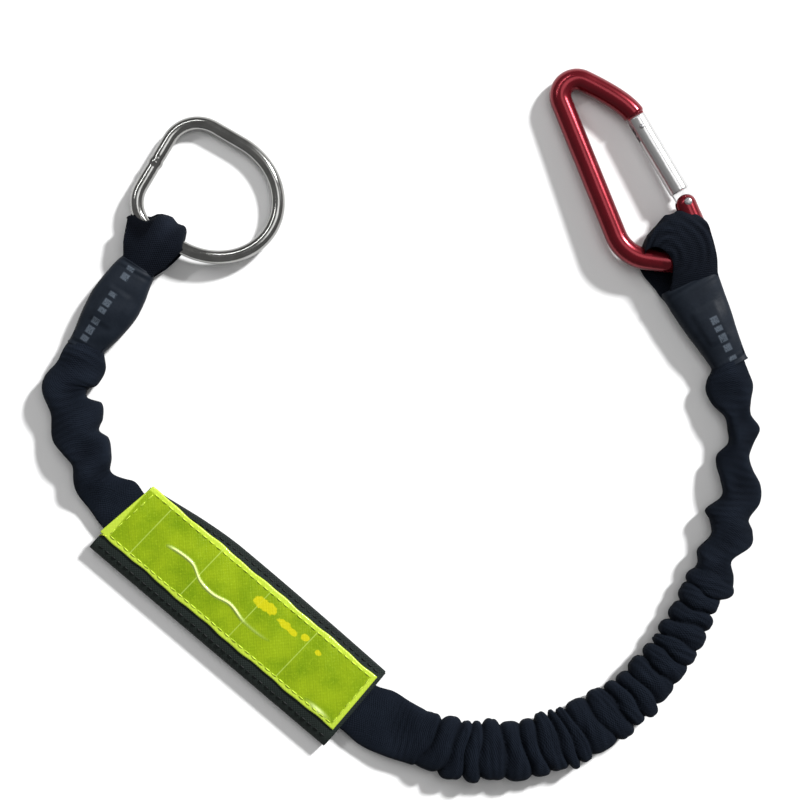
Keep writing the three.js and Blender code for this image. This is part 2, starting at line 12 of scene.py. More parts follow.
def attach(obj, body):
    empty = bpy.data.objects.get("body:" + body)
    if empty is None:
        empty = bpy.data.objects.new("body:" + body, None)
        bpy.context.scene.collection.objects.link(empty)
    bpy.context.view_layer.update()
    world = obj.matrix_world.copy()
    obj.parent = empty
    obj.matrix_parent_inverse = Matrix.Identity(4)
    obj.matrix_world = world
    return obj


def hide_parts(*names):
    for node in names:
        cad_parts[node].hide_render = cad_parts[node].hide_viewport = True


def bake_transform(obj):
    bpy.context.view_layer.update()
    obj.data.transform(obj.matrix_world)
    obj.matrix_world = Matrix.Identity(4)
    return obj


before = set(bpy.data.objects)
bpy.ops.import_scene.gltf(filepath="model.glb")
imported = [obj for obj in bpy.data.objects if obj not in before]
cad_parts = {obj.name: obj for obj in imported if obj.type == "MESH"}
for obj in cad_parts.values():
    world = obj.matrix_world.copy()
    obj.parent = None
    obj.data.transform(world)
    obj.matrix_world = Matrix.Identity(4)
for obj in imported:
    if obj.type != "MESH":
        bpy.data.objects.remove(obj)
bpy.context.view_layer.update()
MM = 0.001
UP = np.array([0.0, 0.0, 1.0])
scene = bpy.context.scene


# ------------------------------------------------------------------ camera

VIEW_WIDTH = 0.2936             # at the height of the table
CAMERA_HEIGHT = 0.62
AIM = (0.0592, 0.0765)
SENSOR = 36


def add_object(name, data):
    """A new object in the scene, at the origin."""
    thing = bpy.data.objects.new(name, data)
    scene.collection.objects.link(thing)
    return thing


def make_camera():
    """Looks straight down; the lens is the sensor's width times height over view width."""
    data = bpy.data.cameras.new("camera")
    data.sensor_width = SENSOR
    data.lens = SENSOR * CAMERA_HEIGHT / VIEW_WIDTH
    data.clip_start = 0.01
    camera = add_object("camera", data)
    camera.location = (*AIM, CAMERA_HEIGHT)
    scene.camera = camera


make_camera()


# ------------------------------------------------------------------ lines and sections

LOWEST = 0.06                   # millimetres that soft pieces keep above the ground


def circle(sides):
    """Evenly spaced turns round a section, the last one short of the first."""
    return np.linspace(0, 2 * math.pi, sides, endpoint=False)


def reach_along(line):
    """Distance from the line's first point to each of its points, along the line."""
    return np.concatenate([[0], np.cumsum(np.linalg.norm(np.diff(line, axis=0), axis=1))])


def read_off(distance, reach, line):
    """The line's columns at these distances along it."""
    return np.stack([np.interp(distance, reach, column) for column in line.T], -1)


def set_out(start, along, left, ahead, sideways, high):
    """Points that lie ahead of a start, to its left and up, and never under the ground."""
    return start + along * ahead[..., None] + left * sideways[..., None] \
        + UP * np.maximum(high, LOWEST)[..., None]


def smooth_step(x, start, end):
    """0 before start, 1 after end, and a cubic ease between."""
    t = np.clip((x - start) / (end - start), 0, 1)
    return t * t * (3 - 2 * t)


def along_table(rows, x):
    """The columns of a short table of sizes at each x, on cubics whose slope at each row
    is that from the row before to the row after."""
    table = np.array(rows, float)
    place = np.clip(np.searchsorted(table[:, 0], x) - 1, 0, len(table) - 2)
    slope = np.zeros_like(table)
    slope[1:-1] = (table[2:] - table[:-2]) / (table[2:, :1] - table[:-2, :1])
    gap = table[place + 1, 0] - table[place, 0]
    t = np.clip((x - table[place, 0]) / gap, 0, 1)
    ease, rise, fall = t * t * (3 - 2 * t), t * (1 - t) ** 2 * gap, t * t * (1 - t) * gap
    return [table[place, k] * (1 - ease) + table[place + 1, k] * ease
            + slope[place, k] * rise - slope[place + 1, k] * fall
            for k in range(1, table.shape[1])]


def rounded(wave, power):
    """A cosine or sine with its sign kept and its size raised to a power: below 1 it squares
    the section's corners."""
    return np.sign(wave) * np.abs(wave) ** power


# ------------------------------------------------------------------ meshes

def signed_volume(points, faces):
    """Sum over the faces' fans of triangles of a sixth of the corners' triple product."""
    total = 0.0
    for k in range(1, faces.shape[1] - 1):
        a, b, c = points[faces[:, 0]], points[faces[:, k]], points[faces[:, k + 1]]
        total += np.einsum("ij,ij->i", a, np.cross(b, c)).sum() / 6
    return total


def smooth_mesh(name, points, faces, cloth=None):
    """A smooth-shaded mesh object from lists, with an optional cloth vector per point."""
    mesh = bpy.data.meshes.new(name)
    mesh.from_pydata(points.tolist(), [], faces)
    if cloth is not None:
        layer = mesh.attributes.new("cloth", "FLOAT_VECTOR", "POINT")
        layer.data.foreach_set("vector", np.asarray(cloth, np.float32).ravel())
    mesh.polygons.foreach_set("use_smooth", [True] * len(mesh.polygons))
    mesh.update()
    return add_object(name, mesh)


def mesh_object(name, points, quads, triangles=None, cloth=None):
    """A mesh from arrays, turned to face outwards: its signed volume is made positive."""
    points = np.asarray(points, float).reshape(-1, 3)
    parts = [quads] if triangles is None else [quads, triangles]
    faces = [face for part in parts for face in part.tolist()]
    if sum(signed_volume(points, part) for part in parts) < 0:
        faces = [face[::-1] for face in faces]
    return smooth_mesh(name, points, faces, cloth)


def grid_quads(rows, columns, endless=False):
    """Corner numbers of a grid's faces, closed across, and closed along if it is endless."""
    r, c = np.meshgrid(np.arange(rows if endless else rows - 1), np.arange(columns),
                       indexing="ij")
    after, beyond = (c + 1) % columns, (r + 1) % rows
    return np.stack([r * columns + c, r * columns + after,
                     beyond * columns + after, beyond * columns + c], -1)


def with_ends(grid):
    """A grid's vectors, then the mean of its first row and that of its last."""
    return np.vstack([grid.reshape(-1, 3), grid[0].mean(0), grid[-1].mean(0)])


def tube_object(name, grid, cloth=None):
    """Rows of a grid joined into a closed tube, each end closed by a fan to its middle."""
    rows, columns = grid.shape[:2]
    c = np.arange(columns)
    after, last_row, fan = (c + 1) % columns, (rows - 1) * columns, rows * columns
    start = np.stack([after, c, np.full(columns, fan)], -1)
    end = np.stack([last_row + c, last_row + after, np.full(columns, fan + 1)], -1)
    return mesh_object(name, with_ends(grid), grid_quads(rows, columns).reshape(-1, 4),
                       np.vstack([start, end]), None if cloth is None else with_ends(cloth))


def ring_object(name, grid):
    """Rows of a grid joined round into an endless bar."""
    return mesh_object(name, grid, grid_quads(*grid.shape[:2], endless=True).reshape(-1, 4))


def slab_object(name, upper, lower, cloth):
    """A thin piece between two grids of the same size, closed round its rim, with the same
    cloth vectors on both sides."""
    rows, columns = upper.shape[:2]
    count = rows * columns
    index = np.arange(count).reshape(rows, columns)
    face = np.stack([index[:-1, :-1], index[:-1, 1:], index[1:, 1:], index[1:, :-1]],
                    -1).reshape(-1, 4)
    rim = np.concatenate([index[0, :-1], index[:-1, -1], index[-1, :0:-1], index[:0:-1, 0]])
    after = np.roll(rim, -1)
    wall = np.stack([rim, rim + count, after + count, after], -1)
    quads = np.vstack([face, face[:, ::-1] + count, wall])
    return mesh_object(name, np.stack([upper, lower]), quads, cloth=np.stack([cloth, cloth]))


def carve(piece, cutter):
    """Takes the cutter's space away from the piece, and leaves one finished mesh."""
    modifier = piece.modifiers.new("carve", "BOOLEAN")
    modifier.operation = "DIFFERENCE"
    modifier.solver = "EXACT"
    modifier.object = cutter
    bpy.context.view_layer.update()
    graph = bpy.context.evaluated_depsgraph_get()
    mesh = bpy.data.meshes.new_from_object(piece.evaluated_get(graph))
    piece.modifiers.clear()
    old = piece.data
    piece.data = mesh
    bpy.data.meshes.remove(old)
    bpy.data.objects.remove(cutter)


def joined(name, *objects):
    """One object that holds several closed shells."""
    points, faces, base = [], [], 0
    for piece in objects:
        mesh = piece.data
        places = np.zeros(len(mesh.vertices) * 3)
        mesh.vertices.foreach_get("co", places)
        points.append(places.reshape(-1, 3))
        faces += [[base + v for v in polygon.vertices] for polygon in mesh.polygons]
        base += len(mesh.vertices)
        bpy.data.objects.remove(piece)
    return smooth_mesh(name, np.vstack(points), faces)


def finish_off(piece, material, nodes, body=None, blend=None):
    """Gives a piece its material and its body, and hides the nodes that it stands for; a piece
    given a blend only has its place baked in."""
    piece.data.materials.append(material)
    if blend:
        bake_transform(piece)
    else:
        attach(piece, body)
    if nodes:
        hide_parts(*nodes)


# ------------------------------------------------------------------ shader expressions

class Value:
    """A socket's output in a finish; arithmetic on it adds Math nodes."""

    def __init__(self, finish, socket):
        self.finish = finish
        self.socket = socket

    def math(self, operation, *others):
        """A Math node on this value and the others, each a number or a value."""
        values = {0: self, **{k + 1: other for k, other in enumerate(others)}}
        return self.finish.node("ShaderNodeMath", {"operation": operation}, values)

    def __add__(self, other):
        return self.math("ADD", other)

    __radd__ = __add__

    def __sub__(self, other):
        return self.math("SUBTRACT", other)

    def __rsub__(self, other):
        return (self * -1) + other

    def __mul__(self, other):
        return self.math("MULTIPLY", other)

    __rmul__ = __mul__

    def __truediv__(self, other):
        return self.math("DIVIDE", other)

    def __pow__(self, other):
        return self.math("POWER", other)

    def wave(self, pitch):
        """Sine of this distance, one turn in each pitch."""
        return (self * (2 * math.pi / pitch)).math("SINE")

    def step(self, edge, soft):
        """0 below the edge and 1 above it, over a soft width."""
        settings = {"interpolation_type": "SMOOTHSTEP"}
        values = {"Value": self, "From Min": edge - soft, "From Max": edge + soft}
        return self.finish.node("ShaderNodeMapRange", settings, values)

    def near(self, middle, half, soft):
        """1 within half a width of the middle value, 0 outside."""
        return 1 - (self - middle).math("ABSOLUTE").step(half, soft)


class Finish:
    """A material for one finish of the lanyard."""

    def __init__(self, name):
        self.material = bpy.data.materials.new(name)
        self.material.use_nodes = True
        self.tree = self.material.node_tree
        self.tree.nodes.clear()

    def node(self, kind, settings=None, values=None, output=0):
        """Any node: its settings first, then a constant or a link on each named socket."""
        node = self.tree.nodes.new(kind)
        for key, setting in (settings or {}).items():
            setattr(node, key, setting)
        for key, value in (values or {}).items():
            socket = node.inputs[key]
            if isinstance(value, Value):
                self.tree.links.new(value.socket, socket)
            elif isinstance(value, tuple) and len(value) == 3 and socket.type == "RGBA":
                socket.default_value = (*value, 1)
            else:
                socket.default_value = value
        return Value(self, node.outputs[output])

    def cloth(self):
        """The piece's own vector: distance along, distance across, and a third measure."""
        vector = self.node("ShaderNodeAttribute", {"attribute_name": "cloth"}, output=1)
        return vector, self.split(vector)

    def place(self):
        """Object coordinates."""
        return self.node("ShaderNodeTexCoord", output=3)

    def combine(self, x, y, z):
        """A vector from three parts."""
        return self.node("ShaderNodeCombineXYZ", values={0: x, 1: y, 2: z})

    def split(self, vector):
        """A vector's three parts."""
        node = self.node("ShaderNodeSeparateXYZ", values={0: vector}).socket.node
        return [Value(self, socket) for socket in node.outputs]

    def noise(self, vector, scale, detail):
        """Cloudy noise from 0 to 1, with so many patches in each metre."""
        values = {"Vector": vector, "Scale": scale, "Detail": detail, "Roughness": 0.55}
        return self.node("ShaderNodeTexNoise", values=values)

    def mix(self, factor, low, high):
        """The low colour at 0 and the high colour at 1."""
        settings = {"data_type": "RGBA", "clamp_factor": True}
        return self.node("ShaderNodeMix", settings, {0: factor, 6: low, 7: high}, output=2)

    def bump(self, height, distance, strength, under=None):
        """A normal tilted by this height, on top of the normal under it."""
        values = {"Height": height, "Distance": distance, "Strength": strength}
        if under is not None:
            values["Normal"] = under
        return self.node("ShaderNodeBump", values=values)

    def shade(self, **values):
        """Ends the material with one Principled shader; underscores stand for spaces."""
        named = {key.replace("_", " "): value for key, value in values.items()}
        shader = self.node("ShaderNodeBsdfPrincipled", values=named)
        end = self.tree.nodes.new("ShaderNodeOutputMaterial")
        self.tree.links.new(shader.socket, end.inputs["Surface"])
        return self.material


# ------------------------------------------------------------------ finishes

def webbing_finish(name, dark, light, rib, sheen):
    """Narrow tubular weave: ribs across and yarns along, with painted shade, darker down in the
    gathers and folds and lighter on their tops.
    """
    f = Finish(name)
    # The cloth vector's third part is painted shade and highlight from the piece's folds, not a
    # colour of the cloth.
    vector, (along, across, ridge) = f.cloth()
    weave = along.wave(rib) * across.wave(rib * 1.3)
    fuzz = f.noise(vector, 900, 2)
    cloud = f.noise(f.place(), 120, 4)
    tone = (ridge * 0.7 + cloud * 0.5 - 0.14 + weave * 0.16 + fuzz * 0.12).math("MAXIMUM", 0.0)
    height = weave * 0.5 + fuzz * 0.6
    folds = f.bump(f.noise(f.place(), 210, 3), 0.0012, 0.35)
    return f.shade(Base_Color=f.mix(tone, dark, light), Roughness=cloud * 0.2 + 0.66,
                   Sheen_Weight=sheen, Sheen_Roughness=0.45,
                   Sheen_Tint=(0.55, 0.68, 0.9, 1.0), Specular_IOR_Level=0.04,
                   Normal=f.bump(height, 0.00022, 0.85, folds))


def shrink_finish(print_rows, print_middle):
    """Shrunk tube: satin, faintly mottled, with plain pale bars printed along it."""
    f = Finish("heat_shrink")
    vector, (along, across, _) = f.cloth()
    mottle = f.noise(f.place(), 260, 4)
    fine = f.noise(f.place(), 1500, 2)
    bars = 0.0
    for middle, half in print_rows:
        bars = along.near(middle * MM, half * MM, 0.00025) + bars
    band = across.near(print_middle * MM, 1.4 * MM, 0.0003)
    worn = f.noise(vector, 1300, 2).step(0.42, 0.12)
    ink = bars * band * worn * 0.75
    base = f.mix(mottle, (0.0055, 0.008, 0.0125), (0.0115, 0.0155, 0.023))
    return f.shade(Base_Color=f.mix(ink, base, (0.09, 0.11, 0.137)),
                   Roughness=mottle * 0.2 + 0.42, Specular_IOR_Level=0.08,
                   Normal=f.bump(mottle * 0.6 + fine * 0.3, 0.0003, 0.55))


def sleeve_finish():
    """Coated oxford cloth: square basket weave with a slight shine on the yarns."""
    f = Finish("sleeve_cloth")
    vector, (along, across, hem_rise) = f.cloth()
    weave = along.wave(0.0011) * across.wave(0.0011)
    cloud = f.noise(f.place(), 150, 4)
    # Lighter along the raised hems, by the cloth vector's third part.
    tone = cloud * 0.55 + weave * 0.14 + hem_rise * 0.5
    return f.shade(Base_Color=f.mix(tone, (0.007, 0.011, 0.0095), (0.019, 0.027, 0.024)),
                   Roughness=cloud * 0.2 + 0.58,
                   Sheen_Weight=0.03, Sheen_Roughness=0.5, Specular_IOR_Level=0.15,
                   Normal=f.bump(weave * 0.6 + f.noise(vector, 1400, 2) * 0.5, 0.00012, 0.7))


def hook_finish(name, bristle):
    """Hook or loop face: a deep, fine, uneven pile."""
    f = Finish(name)
    place = f.place()
    cells = f.node("ShaderNodeTexVoronoi", values={"Vector": place, "Scale": bristle})
    pile = 1 - cells * 1.4
    cloud = f.noise(place, 300, 3)
    return f.shade(Base_Color=f.mix(pile * 0.6 + cloud * 0.4, (0.003, 0.003, 0.004),
                                    (0.028, 0.03, 0.033)),
                   Roughness=cloud * 0.15 + 0.8, Specular_IOR_Level=0.15,
                   Normal=f.bump(pile, 0.0005, 0.9))


def rubber_finish():
    """Latex strands side by side in the elastic core."""
    f = Finish("rubber_strands")
    x, y, _ = f.split(f.place())
    strands = (x + y * 0.7).wave(0.0014)
    cloud = f.noise(f.place(), 300, 3)
    return f.shade(Base_Color=f.mix(cloud, (0.012, 0.012, 0.011), (0.035, 0.034, 0.03)),
                   Roughness=cloud * 0.2 + 0.6, Normal=f.bump(strands, 0.0003, 0.6))


def thread_finish(name, dark, light):
    """Bonded thread: a tight diagonal twist."""
    f = Finish(name)
    x, y, z = f.split(f.place())
    ply = (x + y + z * 1.5).wave(THREAD_TWIST)
    cloud = f.noise(f.place(), 500, 2)
    return f.shade(Base_Color=f.mix(cloud + ply * 0.15, dark, light),
                   Roughness=cloud * 0.2 + 0.55, Specular_IOR_Level=0.2,
                   Normal=f.bump(ply, 0.00015, 0.6))


def tape_finish():
    """Prismatic reflective film: fine cube corners under clear film, a paler welded rim and
    cross welds, painted glints (yellow patches where the prisms face the light), a painted
    highlight along one raised crease and at one corner, and a faint painted glow."""
    f = Finish("reflective_film")
    vector, (along, across, crease) = f.cloth()
    cube = along.wave(0.0016) * across.wave(0.0016) + (along + across).wave(0.0011) * 0.5
    cloud = f.noise(f.place(), 90, 4)
    patch = f.noise(vector, 75, 6)
    fine = f.noise(vector, 1100, 2)
    rim_across = (across.math("ABSOLUTE")).step((TAPE_WIDTH / 2 - 1.5) * MM, 0.0004)
    rim_along = (along.math("ABSOLUTE")).step((TAPE_LENGTH / 2 - 1.7) * MM, 0.0004)
    rim = rim_across.math("MAXIMUM", rim_along)
    welds = 0.0
    for place in TAPE_WELDS:
        lean = along - across * 0.06
        welds = lean.near(place * MM, 0.16 * MM, 0.00018) + welds
    welds = welds * (0.25 + cloud)
    # Painted glints: bright yellow patches where the prisms send the light back.
    painted_glint = 0.0
    for place, side, reach, width in TAPE_PAINTED_GLINTS:
        spot = ((along - place * MM) / (reach * MM)) ** 2.0 \
            + ((across - side * MM) / (width * MM)) ** 2.0
        painted_glint = (1 - spot.math("POWER", 0.5)).math("MAXIMUM", 0.0) + painted_glint
    painted_glint = (painted_glint * 1.3 + f.noise(vector, 650, 3) * 1.1 - 0.72).step(0.16, 0.14)
    body = f.mix(patch * 2.6 - 0.85 + cloud * 0.5, (0.098, 0.19, 0.0005), (0.222, 0.318, 0.005))
    body = f.mix(fine.step(0.6, 0.1) * 0.3, body, (0.30, 0.42, 0.01))
    body = f.mix(rim * 0.8, body, (0.45, 0.585, 0.05))
    body = f.mix(welds * 0.7, body, (0.46, 0.60, 0.12))
    body = f.mix(painted_glint * 0.8, body, (0.54, 0.49, 0.006))
    # Painted highlight along the crease and at the raised corner, from the cloth vector's third
    # part.
    body = f.mix(crease * 0.85, body, (0.72, 0.84, 0.32))
    height = cube * 0.12 + fine * 0.25 + cloud * 1.2 - welds * 0.6
    # The emission is a painted glow: the film gives off a little light in its own colour,
    # standing in for its fluorescence.
    return f.shade(Base_Color=body, Roughness=fine * 0.12 + 0.2, IOR=1.5,
                   Coat_Weight=0.15, Coat_Roughness=0.05, Specular_IOR_Level=0.22,
                   Emission_Color=body, Emission_Strength=0.1,
                   Normal=f.bump(height, 0.00035, 0.35))


def chrome_finish():
    """Bright plated steel, with faint drawing lines and handling haze."""
    f = Finish("bright_plating")
    haze = f.noise(f.place(), 160, 4)
    fine = f.noise(f.place(), 2400, 2)
    return f.shade(Base_Color=f.mix(haze, (0.2, 0.2, 0.19), (0.42, 0.42, 0.41)),
                   Metallic=1.0, Roughness=haze.step(0.5, 0.2) * 0.07 + 0.1,
                   Normal=f.bump(fine * 0.4 + haze, 0.00008, 0.3))


def anodised_finish():
    """Dyed anodising on drawn bar: deep red with a fine tooth and rubbed places."""
    f = Finish("red_anodising")
    haze = f.noise(f.place(), 130, 4)
    fine = f.noise(f.place(), 3000, 2)
    return f.shade(Base_Color=f.mix(haze, (0.135, 0.005, 0.011), (0.22, 0.010, 0.020)),
                   Metallic=0.68, Roughness=haze * 0.1 + 0.16,
                   Coat_Weight=0.12, Coat_Roughness=0.12,
                   Normal=f.bump(fine * 0.5 + haze * 0.8, 0.00006, 0.4))


def satin_finish():
    """Bare aluminium tube: drawn lines along the gate."""
    f = Finish("satin_aluminium")
    x, y, z = f.split(f.place())
    across = x * GATE_ACROSS[0] + y * GATE_ACROSS[1]
    along = x * GATE_ALONG[0] + y * GATE_ALONG[1]
    lines = f.noise(f.combine(across * 40, along * 0.6, z * 40), 90, 2)
    haze = f.noise(f.place(), 200, 3)
    return f.shade(Base_Color=f.mix(lines, (0.44, 0.44, 0.44), (0.66, 0.66, 0.66)),
                   Metallic=0.75, Roughness=haze * 0.1 + 0.18,
                   Normal=f.bump(lines, 0.00005, 0.35))


def spring_finish():
    """Bright drawn spring steel."""
    f = Finish("spring_steel")
    haze = f.noise(f.place(), 900, 3)
    return f.shade(Base_Color=f.mix(haze, (0.2, 0.2, 0.21), (0.42, 0.42, 0.43)),
                   Metallic=1.0, Roughness=haze * 0.2 + 0.28,
                   Normal=f.bump(haze, 0.00005, 0.4))


# ------------------------------------------------------------------ route of the webbing

ROUTE = [
    (-54.5, 96.7), (-59, 89.5), (-62, 82), (-61, 74.5), (-59, 67.5), (-56.5, 61), (-54.5, 55),
    (-52.5, 48.5), (-48.5, 42.3), (-43, 37), (-21.5, 18.9), (0.5, 0.6), (22.4, -17.8),
    (43.6, -35.4), (56, -43.4), (70, -48.8), (88.5, -51.5), (107, -50.5), (125.5, -44),
    (143, -32), (157, -17), (165.5, -1.5), (172.5, 13), (177.5, 28), (181, 44), (182.5, 61),
    (181.5, 76), (179, 90.5),
]
RING_TUBE = {"start": np.array([-54.5, 96.7, 0]), "along": np.array([0.55193, 0.83389, 0])}
CARABINER_TUBE = {"start": np.array([179, 90.5, 0]), "along": np.array([-0.4552, 0.89039, 0])}
INTO_TUBE = 14                  # the webbing runs on this far inside each tube
# Distances along the route, in millimetres.
CORD_START, MID_SLEEVE, STRETCH_START, CORD_END = -12, 126, 305.2, 433


def side_of(along):
    """The direction to the left of travel, flat."""
    return np.cross(UP, along)


def smooth_line(points, steps):
    """Centripetal Catmull-Rom curve: cubics whose end slopes come from the neighbouring
    points, weighed by the square roots of the distances between them."""
    p = np.asarray(points, float)
    p = np.vstack([2 * p[0] - p[1], p, 2 * p[-1] - p[-2]])
    x0, x1, x2, x3 = p[:-3], p[1:-2], p[2:-1], p[3:]
    root = [np.sqrt(np.linalg.norm(b - a, axis=1))[:, None]
            for a, b in ((x0, x1), (x1, x2), (x2, x3))]
    d0, d1, d2 = root
    m1 = ((x1 - x0) / d0 - (x2 - x0) / (d0 + d1) + (x2 - x1) / d1) * d1
    m2 = ((x2 - x1) / d1 - (x3 - x1) / (d1 + d2) + (x3 - x2) / d2) * d1
    t = np.linspace(0, 1, steps, endpoint=False)[:, None, None]
    line = x1 + m1 * t + (3 * (x2 - x1) - 2 * m1 - m2) * t ** 2 \
        + (2 * (x1 - x2) + m1 + m2) * t ** 3
    return np.vstack([line.transpose(1, 0, 2).reshape(-1, p.shape[1]), p[-2]])


def make_route():
    """The route with its runs inside both tubes; distance 0 is at the ring-end tube's mouth."""
    inside = [tube["start"][:2] + INTO_TUBE * tube["along"][:2]
              for tube in (RING_TUBE, CARABINER_TUBE)]
    steps = 60
    line = smooth_line([inside[0], *ROUTE, inside[1]], steps)
    reach = reach_along(line)
    return reach - reach[steps], line


REACH, LINE = make_route()


def flat(points):
    """Plan points given the height 0."""
    return np.concatenate([points, np.zeros((*points.shape[:-1], 1))], -1)


def route_at(distance):
    """Place, direction and left side on the route at these distances, flat, in millimetres;
    the direction is that of the chord from 1.5 mm before to 1.5 mm after."""
    place = read_off(distance, REACH, LINE)
    along = read_off(distance + 1.5, REACH, LINE) - read_off(distance - 1.5, REACH, LINE)
    along /= np.linalg.norm(along, axis=-1)[..., None]
    left = np.stack([-along[..., 1], along[..., 0]], -1)
    return flat(place), flat(along), flat(left)


# Half widths on the left and on the right of travel at distances along the route: the loose
# gathers bulge on one side and then on the other.
EDGES = [
    (-14, 5.6, 5.6), (-2, 5.8, 5.6), (4, 10.3, 6.5), (11, 10.6, 6.4), (17, 8.6, 9.0),
    (22.5, 6.6, 7.8), (26, 11.3, 7.4), (33, 10.0, 9.6), (36.5, 7.2, 9.2), (40, 9.5, 8.0),
    (46, 8.5, 6.0), (53, 6.4, 8.0), (60, 9.2, 8.1), (64.5, 10.8, 9.2), (70, 9.8, 9.6),
    (76, 9.7, 9.7),
    (180, 10.2, 10.2), (188, 12.2, 11.0), (197, 11.8, 10.0), (206, 11.2, 9.3),
    (216, 11.3, 10.6), (270, 11.2, 10.8), (285, 9.8, 10.0), (305, 8.8, 9.2),
    (325, 7.8, 8.4), (333, 7.4, 6.6), (338.5, 8.3, 10.0), (344, 6.2, 8.0), (349, 7.7, 5.2),
    (356, 4.6, 10.4), (361, 6.6, 9.7), (364.5, 9.1, 7.4), (371, 4.2, 10.0), (377, 5.6, 9.2),
    (382, 7.6, 5.8), (386.5, 7.7, 4.1), (391, 3.8, 5.6), (396, 3.9, 7.9), (401, 4.6, 5.0),
    (406, 8.6, 5.6), (411.5, 10.5, 7.0), (416, 9.4, 6.2), (420, 7.0, 5.6), (435, 5.6, 5.6),
]
# Half thickness and height of the middle.
BODY = [
    (-14, 2.3, 4.5), (0, 3.2, 4.6), (7, 4.3, 4.5), (48, 4.3, 4.5), (60, 1.8, 3.0), (72, 1.8, 3.1),
    (180, 1.8, 3.1), (192, 2.3, 2.9), (204, 3.3, 3.6), (214, 4.6, 4.7), (330, 4.5, 4.6),
    (414, 4.0, 4.5), (422, 3.1, 4.6), (435, 2.3, 4.5),
]
GATHER_START = 204              # where the tight gathers start
SECTION_STEP, SECTION_SIDES = 0.34, 112
WEBBING_GIRTH = 56              # round the gathered webbing, for the weave's pitch
# Grooves between the ridges, as distances along the route.
GROOVES = (180, 203, 209, 217.5, 222.8, 228, 236.6, 244.2, 250, 257, 261, 265.5, 274, 282, 288,
           294, 301.5, 309, 315, 322, 328, 335, 342, 360)
RIDGES = len(GROOVES)
chance = np.random.default_rng(11)
LOBE_LEFT = chance.uniform(-0.5, 1.0, RIDGES)
LOBE_RIGHT = chance.uniform(-0.9, 1.0, RIDGES)
RIDGE_HEIGHT = chance.uniform(0.55, 1.0, RIDGES)


def gather(distance, across):
    """Which ridge a point is on and how high up it: the ridges lie between the grooves,
    slant and wander across the webbing, and each rises from a sharp groove to a broad round
    top, which some of them carry a shallow dent in."""
    slant = 1.2 * np.exp(-((distance - 254) / 14) ** 2) \
        - 2.4 * np.exp(-((distance - 214) / 10) ** 2) + 0.5 * np.sin(distance / 7)
    wander = 0.7 * np.sin(across * 3.1 + distance / 4.3)
    turns = np.interp(distance + slant * across * 1.2 + wander, GROOVES, range(RIDGES))
    ridge = np.floor(turns)
    inside = 2 * (turns - ridge) - 1
    rise = 1 - np.abs(inside) ** 3
    rise = rise - 0.13 * np.exp(-((inside - 0.3 * np.sin(across * 2 + ridge)) / 0.24) ** 2) \
        * smooth_step(np.sin(ridge * 2.7), 0, 0.5)
    return np.clip(ridge, 0, RIDGES - 1).astype(int), rise


def webbing_points(start, end):
    """Cross sections along the route. Each is a rounded oblong whose half widths come from
    EDGES and whose height comes from BODY; tight gathers take away from width and height in
    their grooves, fold over towards the carabiner, and loose stretches get shallow creases."""
    rows = int((end - start) / SECTION_STEP) + 1
    s, turn = np.meshgrid(np.linspace(start, end, rows), circle(SECTION_SIDES), indexing="ij")
    across, high = rounded(np.cos(turn), 0.72), rounded(np.sin(turn), 0.66)
    place, along, left = route_at(s)
    half_left, half_right = along_table(EDGES, s)
    half_thick, middle = along_table(BODY, s)
    tight = smooth_step(s, GATHER_START - 2, GATHER_START + 8) \
        * (1 - 0.9 * smooth_step(s, 322, 350))
    ridge, rise = gather(s, across)
    groove = tight * (1 - rise)
    half_left = half_left - 1.7 * groove + tight * rise * LOBE_LEFT[ridge]
    half_right = half_right - 1.8 * groove + tight * rise * LOBE_RIGHT[ridge]
    loose = 1 - smooth_step(tight, 0.05, 0.6)
    in_sleeve = smooth_step(s, 54, 65) * (1 - smooth_step(s, 180, 200))
    crease = (0.45 * np.sin(s / 2.3 + 2.2 * across + 1.3 * np.sin(s / 9))
              + 0.35 * np.sin(s / 4.1 - 3.1 * across + 0.8)) * loose * (1 - in_sleeve)
    wide = np.where(across > 0, half_left, half_right)
    top = half_thick * (1 - 0.42 * groove * RIDGE_HEIGHT[ridge]) \
        * np.where(high > 0, 1, 1 - 0.1 * groove)
    patchy = 0.5 + 0.5 * np.sin(s / 3.7 + 1.9 * across + 2 * np.sin(s / 11))
    fine = 0.11 * np.sin(s * 2.3 + 2.6 * np.sin(across * 1.7 + s / 4.5)) * patchy \
        + 0.05 * np.sin(s * 4.1 - 3.4 * across + 2 * np.sin(s / 5)) * (1 - patchy)
    fine = fine * (1 - in_sleeve)
    lift = top * high + (crease + fine) * np.clip(high, 0, 1) ** 0.5
    fold = tight * rise * np.clip(high, 0, 1)
    points = set_out(place, along, left, fold, wide * across, middle + lift)
    girth = turn / (2 * math.pi) * WEBBING_GIRTH
    # Painted shade and highlight for the cloth vector's third part: darker down in the gathers'
    # grooves and on the underside, lighter on the tops of creases and wrinkles.
    ridge_shade = np.where(tight > 0.02, 1 - tight + tight * rise, 1.0) * 0.75 \
        + crease * 0.34 * loose + fine * 0.8
    shade = ridge_shade * (0.55 + 0.45 * np.clip(high + 0.4, 0, 1))
    cloth = np.stack([s * MM, girth * MM, shade], -1)
    return points * MM, cloth


def core_points(start, end):
    """The elastic inside: a flat strip with rounded edges on the same route."""
    s, turn = np.meshgrid(np.linspace(start, end, int(end - start)), circle(20), indexing="ij")
    place, _, left = route_at(s)
    half_left, half_right = along_table(EDGES, s)
    half_thick, middle = along_table(BODY, s)
    wide = np.minimum(half_left, half_right) * 0.5
    points = place + left * (wide * rounded(np.cos(turn), 0.6))[..., None] \
        + UP * (middle + 0.3 * half_thick * np.sin(turn))[..., None]
    return points * MM


